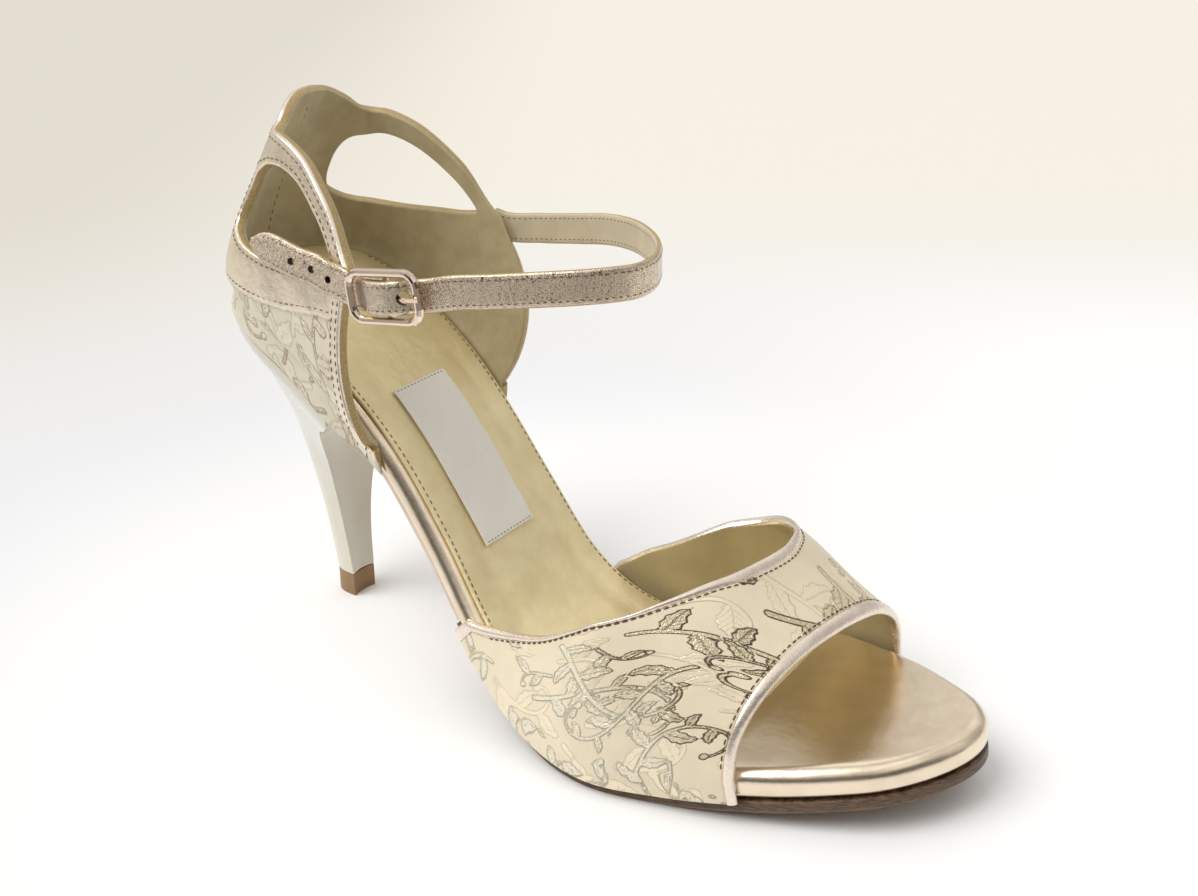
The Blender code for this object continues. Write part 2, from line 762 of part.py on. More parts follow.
def buckle_frame_axes():
    tilt = np.radians(BUCKLE_TILT)
    forward = np.array([np.cos(tilt), 0, np.sin(tilt)])
    upward = np.array([-np.sin(tilt), 0, np.cos(tilt)])
    outward = np.array([0, -1.0, 0])
    return forward, upward, outward


def at_buckle(rows, upward_by=0.0):
    """Points given forward and outward from the buckle's centre, in the shoe's frame."""
    forward, upward, outward = buckle_frame_axes()
    rows = np.atleast_2d(rows)
    return np.array(BUCKLE_AT) + rows[:, :1] * forward + rows[:, 1:2] * outward + upward_by * upward


def resample(points, count):
    """The points joined by a smooth curve, cut into equal lengths. Columns after the third are carried along."""
    points = np.asarray(points, float)
    length = np.concatenate([[0], np.cumsum(np.linalg.norm(np.diff(points[:, :3], axis=0), axis=1))])
    curves = [smooth(length, values) for values in points.T]
    fine = np.linspace(0, length[-1], 2000)
    line = np.stack([curve(fine) for curve in curves[:3]], -1)
    travelled = np.concatenate([[0], np.cumsum(np.linalg.norm(np.diff(line, axis=0), axis=1))])
    even = np.interp(np.linspace(0, travelled[-1], count), travelled, fine)
    return np.stack([curve(even) for curve in curves], -1)


def ribbon(name, line, upright, width, thick, material, round_end=False):
    """A flat strip along the line, with softened edges: upright is the way its width stands at each point."""
    forward = unit(np.gradient(line, axis=0))
    upright = unit(upright - forward * np.sum(upright * forward, axis=1, keepdims=True))
    outward = np.cross(forward, upright)
    soft = thick * 0.28
    travelled = np.concatenate([[0], np.cumsum(np.linalg.norm(np.diff(line, axis=0), axis=1))])
    left = travelled[-1] - travelled
    sections = []
    for k in range(len(line)):
        half = width / 2
        if round_end and left[k] < TAIL_TAPER:
            half = max(half * (1 - (1 - left[k] / TAIL_TAPER) ** 2.4) ** 0.6, width * 0.14)
        corners = [(half - soft, thick / 2), (half, thick / 2 - soft), (half, soft - thick / 2),
                   (half - soft, -thick / 2), (soft - half, -thick / 2), (-half, soft - thick / 2),
                   (-half, thick / 2 - soft), (soft - half, thick / 2)]
        sections.append(np.array([line[k] + up * upright[k] + out * outward[k] for up, out in corners]))
    return loft(name, sections, material)


def tube(name, line, radius, material, closed=False, sides=10):
    """A round wire along a line that lies in one plane."""
    spline_data = bpy.data.curves.new(name, "CURVE")
    spline_data.dimensions = "3D"
    spline_data.bevel_depth = radius
    spline_data.bevel_resolution = (sides - 4) // 2
    spline_data.use_fill_caps = not closed
    spline = spline_data.splines.new("POLY")
    spline.points.add(len(line) - 1)
    for point, place in zip(spline.points, line):
        point.co = (*place, 1)
    spline.use_cyclic_u = closed
    guide = bpy.data.objects.new(name + "_guide", spline_data)
    helpers.objects.link(guide)
    mesh = bpy.data.meshes.new_from_object(guide)
    bpy.data.objects.remove(guide)
    bpy.data.curves.remove(spline_data)
    work = bmesh.new()
    work.from_mesh(mesh)
    bmesh.ops.remove_doubles(work, verts=work.verts, dist=0.000002)
    bmesh.ops.recalc_face_normals(work, faces=work.faces)
    work.to_mesh(mesh)
    work.free()
    mesh.materials.clear()
    mesh.materials.append(material)
    mesh.shade_smooth()
    mesh.set_sharp_from_angle(angle=np.radians(50))
    made = bpy.data.objects.new(name, mesh)
    shoe_parts.objects.link(made)
    return made


def punch(target, name, centre, along, radius):
    """A round hole through a strap, square to it."""
    mesh = bpy.data.meshes.new(name)
    work = bmesh.new()
    bmesh.ops.create_cone(work, cap_ends=True, segments=14, radius1=radius, radius2=radius, depth=0.006)
    work.to_mesh(mesh)
    work.free()
    plug = bpy.data.objects.new(name, mesh)
    plug.location = Vector(centre)
    plug.rotation_mode = "QUATERNION"
    plug.rotation_quaternion = Vector(along).to_track_quat("Z", "Y")
    shoe_parts.objects.link(plug)
    cut_with(target, plug)


def on_quarter(around, up):
    """Middle of the strap where it lies against the quarter, with the way out of the wall and the way up it."""
    around, up = np.broadcast_arrays(np.asarray(around, float), np.asarray(up, float))
    away = QUARTER_WALL + BAND_STEP + TAIL_CLEAR + STRAP_THICK / 2
    middle = quarter_point(around, up, away + 0 * around)
    out = unit(middle - quarter_point(around, up, 0 * around))
    upright = unit(quarter_point(around, up + 0.1, away + 0 * around) - middle)
    return middle, out, upright


def tail_point(share):
    """The same on the strap's tail: 0 is its first point and 1 its end."""
    table = np.array(STRAP_TAIL)
    at = np.linspace(0, 1, len(table))
    around, up = [smooth(at, table[:, k])(np.asarray(share, float)) for k in (0, 1)]
    return on_quarter(around, up)


def make_strap(looks):
    forward, upward, outward = buckle_frame_axes()
    tail, out, upright = tail_point(np.linspace(0, 1, 7))
    root, root_out, root_upright = on_quarter(*np.array(STRAP_ROOT).T)
    pieces = [(root, root_upright), (STRAP_LOOP, [0, 0, 1]), (at_buckle(STRAP_THROUGH), upward), (tail, upright)]
    controls = [np.concatenate([points, np.broadcast_to(way, np.shape(points))], axis=1) for points, way in pieces]
    line = resample(np.concatenate(controls), 68)
    line, upright = line[:, :3], line[:, 3:]
    strap = ribbon("ankle_strap", line, upright, STRAP_WIDTH, STRAP_THICK, looks["rose_gold"], round_end=True)
    centre = at_buckle([(PRONG_THROUGH, -0.0004)])[0]
    punch(strap, "hole_prong", centre, outward + forward * 0.36, PRONG_HOLE)
    for k, share in enumerate(SPARE_HOLES):
        middle, out, upright = tail_point(share)
        punch(strap, f"hole_{k}", middle, out, PUNCH)



def make_buckle(looks):
    forward, upward, outward = buckle_frame_axes()
    corner = BUCKLE_CORNER
    outline = []
    for turn in (0, 90, 180, 270):
        side = (np.cos(np.radians(turn + 45)) > 0, np.sin(np.radians(turn + 45)) > 0)
        middle = [(1 if side[0] else -1) * (BUCKLE_LENGTH / 2 - corner),
                  (1 if side[1] else -1) * (BUCKLE_HEIGHT / 2 - corner)]
        for step in (0, 22.5, 45, 67.5, 90):
            angle = np.radians(turn + step)
            outline.append((middle[0] + corner * np.cos(angle), middle[1] + corner * np.sin(angle)))
    line = [np.array(BUCKLE_AT) + a * forward + b * upward for a, b in outline]
    frame = tube("buckle_frame", line, FRAME_WIRE, looks["nickel"], closed=True)
    half = BUCKLE_HEIGHT / 2
    dip = 0.0014
    bar = [(half, 0), (half - 0.3 * dip, -0.6 * BAR_IN), (half - dip, -BAR_IN), (0, -BAR_IN),
           (dip - half, -BAR_IN), (0.3 * dip - half, -0.6 * BAR_IN), (-half, 0)]
    bar_line = [np.array(BUCKLE_AT) + up * upward + out * outward for up, out in bar]
    bar_body = tube("buckle_bar", bar_line, BAR_WIRE, looks["nickel"])
    shoe_parts.objects.unlink(bar_body)
    helpers.objects.link(bar_body)
    bar_body.hide_render = True
    bar_body.display_type = "WIRE"
    join = frame.modifiers.new("join bar", "BOOLEAN")
    join.operation = "UNION"
    join.solver = "EXACT"
    join.object = bar_body
    prong = resample(at_buckle(PRONG_PATH), 24)
    tube("buckle_prong", prong, PRONG_WIRE, looks["nickel"])
    anchor_line = resample(at_buckle(ANCHOR_PATH), 40)
    upright = np.repeat([upward], len(anchor_line), axis=0)
    anchor = ribbon("buckle_anchor", anchor_line, upright, ANCHOR_WIDTH, ANCHOR_THICK, looks["rose_gold"])
    slot = box("prong_slot", at_buckle([(0.0012, -0.0006)])[0], (0.0064, 0.0036, PRONG_SLOT))
    cut_with(anchor, slot)


def box(name, centre, size):
    """A box turned with the buckle."""
    forward, upward, outward = buckle_frame_axes()
    mesh = bpy.data.meshes.new(name)
    work = bmesh.new()
    bmesh.ops.create_cube(work, size=1.0)
    for vertex in work.verts:
        along, out, up = np.array(vertex.co) * size
        vertex.co = Vector(centre + along * forward + out * outward + up * upward)
    work.normal_update()
    bmesh.ops.recalc_face_normals(work, faces=work.faces)
    work.to_mesh(mesh)
    work.free()
    made = bpy.data.objects.new(name, mesh)
    shoe_parts.objects.link(made)
    return made


# The whole shoe


def plain_material(name, colour, roughness, metallic=0.0):
    material = bpy.data.materials.new(name)
    material.use_nodes = True
    shader = material.node_tree.nodes["Principled BSDF"]
    shader.inputs["Base Color"].default_value = (*colour, 1)
    shader.inputs["Roughness"].default_value = roughness
    shader.inputs["Metallic"].default_value = metallic
    material.diffuse_color = (*colour, 1)
    return material


def new_collection(name, hidden):
    made = bpy.data.collections.new(name)
    bpy.context.scene.collection.children.link(made)
    made.hide_render = hidden
    return made


def centre_shoe():
    """Moves the shoe so that the middle of its box lies over the origin, with its lowest point on the floor."""
    bpy.context.view_layer.update()
    graph = bpy.context.evaluated_depsgraph_get()
    corners = []
    for part in shoe_parts.objects:
        solid = part.evaluated_get(graph).to_mesh()
        corners += [tuple(part.matrix_world @ vertex.co) for vertex in solid.vertices]
        part.evaluated_get(graph).to_mesh_clear()
    corners = np.array(corners)
    middle = (corners.min(axis=0) + corners.max(axis=0)) / 2
    shift = Vector((-middle[0], -middle[1], -corners[:, 2].min()))
    for part in list(shoe_parts.objects) + list(helpers.objects):
        part.location = part.location + shift
    print("moved by", [round(value * 1000, 3) for value in shift])


for old in list(bpy.data.objects):
    bpy.data.objects.remove(old)
shoe_parts = new_collection("tango_sandal_right", False)
helpers = new_collection("cutters", True)
LOOKS = {
    "rose_gold": plain_material("rose_gold_leather", (0.72, 0.47, 0.38), 0.35, 0.6),
    "sock_gold": plain_material("sock_leather", (0.84, 0.72, 0.52), 0.4, 0.3),
    "pale_pink": plain_material("shank_leather", (0.80, 0.62, 0.54), 0.5),
    "brown_leather": plain_material("sole_leather", (0.10, 0.05, 0.03), 0.5),
    "cream_leather": plain_material("cream_leather", (0.82, 0.76, 0.66), 0.5),
    "ivory_gloss": plain_material("heel_cover", (0.86, 0.83, 0.77), 0.15),
    "tan_rubber": plain_material("top_lift_rubber", (0.42, 0.24, 0.12), 0.6),
    "nickel": plain_material("buckle_metal", (0.80, 0.70, 0.66), 0.2, 1.0),
    "white_label": plain_material("label_fabric", (0.90, 0.89, 0.87), 0.8),
}
make_bed(LOOKS)
make_label(LOOKS["white_label"])
make_heel(LOOKS)
make_vamp(LOOKS)
make_quarter(LOOKS)
make_strap(LOOKS)
make_buckle(LOOKS)
centre_shoe()
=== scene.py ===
"""A right-foot open-toe tango sandal on a slim high heel, with its leathers, threads and metal."""

import math

import bmesh
import bpy
import numpy as np
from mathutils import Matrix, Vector
from mathutils.geometry import delaunay_2d_cdt


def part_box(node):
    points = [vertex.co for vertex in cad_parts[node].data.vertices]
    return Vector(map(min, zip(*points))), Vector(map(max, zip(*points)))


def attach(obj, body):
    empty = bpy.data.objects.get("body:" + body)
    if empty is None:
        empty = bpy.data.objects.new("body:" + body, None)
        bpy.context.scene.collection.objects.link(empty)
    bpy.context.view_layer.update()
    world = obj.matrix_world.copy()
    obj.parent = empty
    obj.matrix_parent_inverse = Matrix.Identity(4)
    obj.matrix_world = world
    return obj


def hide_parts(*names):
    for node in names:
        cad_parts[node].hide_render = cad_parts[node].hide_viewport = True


# Foot bed
FOOT_RUN = 0.2034        # insole, heel to toe tip, measured along the floor
BALL_WIDTH = 0.0820      # insole across the widest part
SEAT_RISE = 0.0873       # top of the insole at the back, above the insole at the ball
TOE_SPRING = 0.0092      # toe tip above the insole at the ball
HEEL_ROUND = 0.0240      # length of the round end at the heel
HEEL_FULLNESS = 2.3      # how square that end is: 2 is an ellipse
TOE_ROUND = 0.0285       # length of the round end at the toe

# Layers under the foot
GAP = 0.0003             # clearance between pieces that touch
BOARD_THICK = 0.0061
BOARD_EDGE = 0.0026      # radius of the wrapped edge
SHANK_THICK = 0.0024
SHANK_INSET = 0.0024     # shank cover behind the edge of the board
OUTSOLE_THICK = 0.0027
OUTSOLE_LIP = -0.0002    # outsole beyond the edge of the board
OUTSOLE_START = 0.0860   # where the shank cover ends and the outsole begins
TREAD_FLAT = 0.0002      # how much the ball is flattened by its stand on the floor
BED_BLEND = 0.0120       # the way square to the bed is taken over this far each way along it
SOCK_THICK = 0.0010
SOCK_INSET = 0.0027
LABEL_THICK = 0.0005
LABEL_START = 0.0493
LABEL_RUN = 0.0295       # along the floor
LABEL_WIDTH = 0.0196
LABEL_ASIDE = -0.0024    # towards the outer side

# Heel
LIFT_HEIGHT = 0.0065
TIP_LENGTH = 0.0082
TIP_WIDTH = 0.0085
TIP_SET_IN = 0.0150      # back of the tip, forward of the back of the insole
HEEL_LIP = 0.0016        # heel seat beyond the edge of the board
BREAST_AT = 0.0460       # front of the heel seat
BREAST_HOLLOW = 0.0006   # how far the breast is scooped at mid-width

# Vamp
VAMP_CLEAR = 0.0005      # the vamp off the edge of the board
VAMP_WALL = 0.0018       # leather and lining together
VAMP_HEIGHT = 0.0440     # top of the vamp above the insole at its rear edge
VAMP_CROWN = 2.13        # how square the vamp's arch is: 2 is an ellipse
BINDING_WIDTH = 0.0023
BINDING_STEP = 0.0006    # the rolled binding stands this far off the vamp

# Quarter
QUARTER_WALL = 0.0022
QUARTER_RUN = 0.0565     # heel back to the quarter's front edge, along the bed
QUARTER_HEIGHT = 0.0440  # top of the tab above the bed at the heel's back
COUNTER_BULGE = 0.0034
BAND_STEP = 0.0006       # the metallic bands stand this far off the counter leather
FRONT_BAND = 0.925       # the front bands begin here, as a share of the way round
OUTER_DIP = -0.0040      # the outer front edge curves back by this much
INNER_DIP = 0.0055       # the inner front edge curves forward by this much
TIP_RUN = 0.0080         # how far the quarter's lower corners run forward under the board
CUTOUT_SHIFT = 0.04      # both cut-outs lie this far round towards the outer side

# Strap and buckle
STRAP_WIDTH = 0.0078
STRAP_THICK = 0.0016
TAIL_TAPER = 0.0085      # the strap's tail narrows over this length
TAIL_CLEAR = 0.0006      # the strap's tail off the quarter
BUCKLE_AT = (0.0686, -0.0354, 0.1046)
BUCKLE_TILT = 8.0        # degrees, front end up
PRONG_HOLE = 0.0018      # radius of the strap's hole round the prong
PUNCH = 0.0010           # radius of the spare holes

SHANK_STACK = BOARD_THICK + GAP + SHANK_THICK
TREAD_STACK = BOARD_THICK + GAP + OUTSOLE_THICK
SEAT_LEVEL = TREAD_STACK + SEAT_RISE

# One row for each section of the foot bed: place along FOOT_RUN, height as a share of SEAT_RISE, spring as a
# share of TOE_SPRING, half-widths of the inner and outer sides as shares of BALL_WIDTH
FOOT_BED = [
    # run, rise, spring, inner, outer
    (0.000, 1.000, 0.00, 0.288, 0.294),
    (0.055, 0.959, 0.00, 0.292, 0.300),
    (0.108, 0.905, 0.00, 0.294, 0.306),
    (0.159, 0.839, 0.00, 0.296, 0.312),
    (0.207, 0.762, 0.00, 0.294, 0.320),
    (0.252, 0.676, 0.00, 0.286, 0.322),
    (0.292, 0.580, 0.00, 0.278, 0.322),
    (0.365, 0.368, 0.00, 0.270, 0.338),
    (0.441, 0.165, 0.00, 0.258, 0.390),
    (0.540, 0.029, 0.00, 0.290, 0.480),
    (0.621, 0.000, 0.00, 0.376, 0.522),
    (0.713, 0.000, 0.07, 0.448, 0.482),
    (0.828, 0.000, 0.42, 0.382, 0.403),
    (0.885, 0.000, 0.63, 0.325, 0.347),
    (0.942, 0.000, 0.83, 0.290, 0.308),
    (1.000, 0.000, 1.00, 0.300, 0.245),
]

# Edges of the vamp, from the outer feather edge (0 degrees) over the foot to the inner one (180): where the
# rear and front edges lie, as shares of FOOT_RUN
VAMP_EDGES = [
    # around, rear, front
    (0, 0.427, 0.797),
    (14, 0.473, 0.803),
    (28, 0.543, 0.813),
    (45, 0.668, 0.826),
    (65, 0.736, 0.839),
    (85, 0.761, 0.849),
    (105, 0.761, 0.855),
    (123, 0.732, 0.856),
    (138, 0.666, 0.856),
    (152, 0.552, 0.854),
    (166, 0.490, 0.850),
    (180, 0.464, 0.846),
]

# Height of the vamp's arch along the foot, as a share of VAMP_HEIGHT
VAMP_ARCH = [
    # run, height
    (0.40, 1.10),
    (0.62, 1.09),
    (0.70, 0.99),
    (0.75, 0.86),
    (0.80, 0.65),
    (0.86, 0.42),
]

# Top edge of the quarter, from the centre back (0) to the front corner (1): forward as a share of
# QUARTER_RUN, out as a share of BALL_WIDTH, up from the bed at the heel's back as a share of QUARTER_HEIGHT
QUARTER_TOP = [
    # around, forward, out, up
    (0.00, 0.333, 0.000, 1.000),
    (0.10, 0.336, 0.056, 0.984),
    (0.20, 0.354, 0.108, 0.930),
    (0.27, 0.378, 0.153, 0.866),
    (0.31, 0.393, 0.187, 0.838),
    (0.36, 0.439, 0.206, 0.832),
    (0.46, 0.531, 0.226, 0.795),
    (0.58, 0.637, 0.246, 0.723),
    (0.70, 0.743, 0.273, 0.605),
    (0.82, 0.832, 0.295, 0.475),
    (0.91, 0.903, 0.318, 0.339),
    (1.00, 0.965, 0.341, 0.241),
]

# Seam between the counter leather and the metallic band, as a share of the wall's height
QUARTER_SEAM = [
    # around, up
    (0.00, 0.060),
    (0.20, 0.055),
    (0.40, 0.085),
    (0.60, 0.200),
    (0.80, 0.430),
    (1.00, 0.720),
]

# How far the quarter reaches down past the edge of the insole, in the same measure as up
QUARTER_SKIRT = [
    # around, reach
    (0.00, 0.95),
    (0.60, 0.95),
    (0.88, 0.90),
    (1.00, 0.55),
]

# Teardrop cut-out, in the quarter's own coordinates
CUTOUT = [
    # around, up
    (0.270, 0.370),
    (0.360, 0.345),
    (0.480, 0.385),
    (0.600, 0.475),
    (0.720, 0.600),
    (0.810, 0.710),
    (0.862, 0.800),
    (0.800, 0.845),
    (0.700, 0.862),
    (0.580, 0.868),
    (0.460, 0.862),
    (0.370, 0.835),
    (0.300, 0.775),
    (0.258, 0.660),
    (0.242, 0.520),
    (0.246, 0.425),
]

# Heel between its seat (0) and its tip (1): how far the back, the breast and the half-width have gone from
# their size at the seat to their size at the tip
HEEL_SECTIONS = [
    # down, back, breast, width
    (0.00, 0.000, 0.000, 0.000),
    (0.05, 0.002, 0.260, 0.100),
    (0.10, 0.015, 0.480, 0.220),
    (0.17, 0.070, 0.700, 0.375),
    (0.27, 0.220, 0.885, 0.560),
    (0.38, 0.415, 1.000, 0.715),
    (0.50, 0.570, 1.057, 0.820),
    (0.65, 0.725, 1.070, 0.905),
    (0.82, 0.880, 1.046, 0.964),
    (1.00, 1.000, 1.000, 1.000),
]

# The strap's free loop, from the inner side round in front of the ankle to the buckle
STRAP_LOOP = [
    (0.0645, 0.0322, 0.1048),
    (0.0760, 0.0306, 0.1067),
    (0.0893, 0.0268, 0.1092),
    (0.1000, 0.0210, 0.1105),
    (0.1085, 0.0140, 0.1109),
    (0.1145, 0.0070, 0.1114),
    (0.1195, -0.0010, 0.1119),
    (0.1224, -0.0085, 0.1121),
    (0.1223, -0.0150, 0.1121),
    (0.1195, -0.0198, 0.1121),
    (0.1145, -0.0243, 0.1118),
    (0.1060, -0.0280, 0.1108),
    (0.0960, -0.0309, 0.1094),
    (0.0870, -0.0326, 0.1081),
]

# Where the strap is sewn on outside the inner side, in the quarter's own coordinates
STRAP_ROOT = [
    # around, up
    (0.860, 0.760),
    (0.930, 0.860),
]

# The strap's tail on the outer side, in the quarter's own coordinates
STRAP_TAIL = [
    # around, up
    (-0.975, 0.905),
    (-0.880, 0.785),
    (-0.780, 0.665),
    (-0.680, 0.570),
    (-0.580, 0.498),
    (-0.480, 0.440),
]

# The middle of the strap through the buckle, in the buckle's own frame: forward and outward from its centre
STRAP_THROUGH = [
    # forward, outward
    (0.0100, -0.0023),
    (0.0075, -0.0016),
    (0.0035, 0.0008),
    (0.0000, 0.0014),
    (-0.0035, 0.0008),
    (-0.0075, -0.0016),
    (-0.0100, -0.0023),
]

PRONG_THROUGH = 0.0057   # where the prong passes the strap, forward of the centre bar

# Spare holes of the strap, as shares of the way from the first point of the tail to its end
SPARE_HOLES = (0.10, 0.335, 0.57)

QUARTER_ARC = 66.0       # half the quarter's length in millimetres, laid flat
VAMP_STITCH_IN = 0.0005   # stitches off the vamp's binding
STRAP_STITCH_IN = 0.0012  # stitches in from the strap's edge


def smooth(xs, ys):
    """A smooth curve through the points, as a function that runs on straight beyond its ends."""
    xs = np.asarray(xs, float)
    ys = np.asarray(ys, float)
    slope = np.gradient(ys, xs)

    def value(x):
        x = np.asarray(x, float)
        inside = np.clip(x, xs[0], xs[-1])
        i = np.clip(np.searchsorted(xs, inside, side="right") - 1, 0, len(xs) - 2)
        step = xs[i + 1] - xs[i]
        t = (inside - xs[i]) / step
        curve = (1 + 2 * t) * (1 - t) ** 2 * ys[i] + t * (1 - t) ** 2 * step * slope[i]
        curve = curve + t * t * (3 - 2 * t) * ys[i + 1] + t * t * (t - 1) * step * slope[i + 1]
        beyond = np.where(x < xs[0], slope[0], slope[-1]) * (x - inside)
        return curve + beyond

    return value


def column(table, index):
    return smooth([row[0] for row in table], [row[index] for row in table])


rise_share, spring_share, inner_share, outer_share = [column(FOOT_BED, k) for k in (1, 2, 3, 4)]
vamp_rear, vamp_front = [column(VAMP_EDGES, k) for k in (1, 2)]
arch_share = column(VAMP_ARCH, 1)
top_forward, top_out, top_up = [column(QUARTER_TOP, k) for k in (1, 2, 3)]
quarter_seam = column(QUARTER_SEAM, 1)
skirt_reach = column(QUARTER_SKIRT, 1)
heel_back, heel_breast, heel_width = [column(HEEL_SECTIONS, k) for k in (1, 2, 3)]


def unit(vectors):
    return vectors / np.linalg.norm(vectors, axis=-1, keepdims=True)


# The foot bed


def bed_height(x):
    share = np.asarray(x) / FOOT_RUN
    return TREAD_STACK + SEAT_RISE * rise_share(share) + TOE_SPRING * spring_share(share)


def bed_slope(x):
    rise = bed_height(x + BED_BLEND) - bed_height(x - BED_BLEND)
    return np.arctan2(rise, 2 * BED_BLEND)


def bed_point(x, y, up):
    """The point at x and y on top of the insole, moved off it by up, square to it."""
    slope = bed_slope(x)
    return np.stack(np.broadcast_arrays(x - up * np.sin(slope), y, bed_height(x) + up * np.cos(slope)), -1)


def end_round(x):
    """1 along the foot, falling to 0 at the heel's back and at the toe's tip."""
    back = np.clip(1 - x / HEEL_ROUND, 0, 1)
    front = np.clip(1 - (FOOT_RUN - x) / TOE_ROUND, 0, 1)
    return (1 - back**HEEL_FULLNESS) ** (1 / HEEL_FULLNESS) * (1 - front**2) ** 0.5


def edge(x, side):
    """y of the insole's outline: side 1 is the inner side of the foot, -1 the outer side."""
    share = np.asarray(x) / FOOT_RUN
    inner = BALL_WIDTH * inner_share(share)
    outer = BALL_WIDTH * outer_share(share)
    middle = (inner - outer) / 2 * np.clip(x / HEEL_ROUND, 0, 1)
    return middle + side * (inner + outer) / 2 * end_round(x)


def side_line(side, inset):
    """One side of the insole's outline from heel to toe, moved inwards by inset."""
    x = FOOT_RUN * (1 - np.cos(np.linspace(0, np.pi, 401))) / 2
    y = edge(x, side)
    along = unit(np.stack([np.gradient(x), np.gradient(y)], -1))
    return x + side * inset * along[:, 1], y - side * inset * along[:, 0]


def ring(inset, start, end, count):
    """Plan points of the outer and inner sides of the inset outline, which meet at a round end."""
    lines = {side: side_line(side, inset) for side in (-1, 1)}
    low = max(start, (lines[-1][0][0] + lines[1][0][0]) / 2)
    high = min(end, (lines[-1][0][-1] + lines[1][0][-1]) / 2)
    x = low + (high - low) * (1 - np.cos(np.linspace(0, np.pi, count))) / 2
    outer, inner = [np.interp(x, *lines[side]) for side in (-1, 1)]
    for place, is_round in ((0, low > start), (-1, high < end)):
        if is_round:
            outer[place] = inner[place] = (outer[place] + inner[place]) / 2
    return x, outer, inner


def vamp_point(around, along, out):
    """A point of the vamp: around in degrees, along 0 at the rear edge and 1 at the front, out from the foot.

    Below 0 and above 180 degrees the wall drops past the board's edge to the outsole, over 20 degrees.
    """
    over = np.clip(around, 0, 180)
    drop = (np.abs(around - over) / 20) * BOARD_THICK
    share = vamp_rear(over) + (vamp_front(over) - vamp_rear(over)) * along
    x = FOOT_RUN * share
    tuck = 1 - 0.35 * drop / BOARD_THICK
    outer = edge(x, -1) - VAMP_CLEAR - out * tuck
    inner = edge(x, 1) + VAMP_CLEAR + out * tuck
    turn = np.radians(over)
    wide = -np.sign(np.cos(turn)) * np.abs(np.cos(turn)) ** (2 / VAMP_CROWN)
    high = np.abs(np.sin(turn)) ** (2 / VAMP_CROWN)
    y = (inner + outer) / 2 + (inner - outer) / 2 * wide
    up = (VAMP_HEIGHT * arch_share(share) + out) * high - drop
    return bed_point(x, y, up)


def seat_line(side):
    """The feather edge of one side of the quarter, from the centre back forward, by its own length."""
    x = QUARTER_RUN * (1 - np.cos(np.linspace(0, np.pi / 2, 200)))
    y = edge(x, side)
    length = np.concatenate([[0], np.cumsum(np.hypot(np.diff(x), np.diff(y)))])
    return length / length[-1], x


SEAT_LINES = {side: seat_line(side) for side in (-1, 1)}


def quarter_base(around, up):
    """Inner face of the quarter: around from -1 (outer front) to 1 (inner front), up 0 at the feather edge,
    1 at the top, and down to -1 at the underside of the shank."""
    around, up = np.broadcast_arrays(np.asarray(around, float), np.asarray(up, float))
    part = np.abs(around)
    rise = np.clip(up, 0, None)
    drop = np.clip(-up, 0, None)
    x = np.where(around < 0, np.interp(part, *SEAT_LINES[-1]), np.interp(part, *SEAT_LINES[1]))
    x = x + TIP_RUN * part**3 * drop
    foot = bed_point(x, np.where(around < 0, edge(x, -1), edge(x, 1)), -drop * SHANK_STACK)
    side = np.sign(around)
    top = np.stack([top_forward(part) * QUARTER_RUN, side * top_out(part) * BALL_WIDTH,
                    SEAT_LEVEL + top_up(part) * QUARTER_HEIGHT], -1)
    swell = COUNTER_BULGE * np.sin(np.pi * np.clip(rise, 0, 1) ** 0.5)
    away = np.stack([-np.cos(part * np.pi / 2), side * np.sin(part * np.pi / 2), 0 * part], -1)
    point = foot + (top - foot) * rise[..., None] + away * swell[..., None]
    dip = np.where(around < 0, OUTER_DIP, INNER_DIP)
    point[..., 0] += dip * part**3 * np.sin(np.pi * np.clip(rise, 0, 1))
    return point


def quarter_point(around, up, out):
    """A point of the quarter, moved out from its inner face, square to it."""
    around, up = np.broadcast_arrays(np.asarray(around, float), np.asarray(up, float))
    small = 0.004
    tall = 0.08
    round_way = quarter_base(around + small, up) - quarter_base(around - small, up)
    up_way = quarter_base(around, up + tall) - quarter_base(around, up - tall)
    return quarter_base(around, up) + unit(np.cross(up_way, round_way)) * (np.asarray(out) + GAP)[..., None]


def buckle_frame_axes():
    tilt = np.radians(BUCKLE_TILT)
    forward = np.array([np.cos(tilt), 0, np.sin(tilt)])
    upward = np.array([-np.sin(tilt), 0, np.cos(tilt)])
    outward = np.array([0, -1.0, 0])
    return forward, upward, outward


def at_buckle(rows, upward_by=0.0):
    """Points given forward and outward from the buckle's centre, in the shoe's frame."""
    forward, upward, outward = buckle_frame_axes()
    rows = np.atleast_2d(rows)
    return np.array(BUCKLE_AT) + rows[:, :1] * forward + rows[:, 1:2] * outward + upward_by * upward


def resample(points, count):
    """The points joined by a smooth curve, cut into equal lengths, with the columns after the third."""
    points = np.asarray(points, float)
    length = np.concatenate([[0], np.cumsum(np.linalg.norm(np.diff(points[:, :3], axis=0), axis=1))])
    curves = [smooth(length, values) for values in points.T]
    fine = np.linspace(0, length[-1], 2000)
    line = np.stack([curve(fine) for curve in curves[:3]], -1)
    travelled = np.concatenate([[0], np.cumsum(np.linalg.norm(np.diff(line, axis=0), axis=1))])
    even = np.interp(np.linspace(0, travelled[-1], count), travelled, fine)
    return np.stack([curve(even) for curve in curves], -1)


def on_quarter(around, up):
    """Middle of the strap where it lies against the quarter, with the ways out of the wall and up it."""
    around, up = np.broadcast_arrays(np.asarray(around, float), np.asarray(up, float))
    away = QUARTER_WALL + BAND_STEP + TAIL_CLEAR + STRAP_THICK / 2
    middle = quarter_point(around, up, away + 0 * around)
    out = unit(middle - quarter_point(around, up, 0 * around))
    upright = unit(quarter_point(around, up + 0.1, away + 0 * around) - middle)
    return middle, out, upright


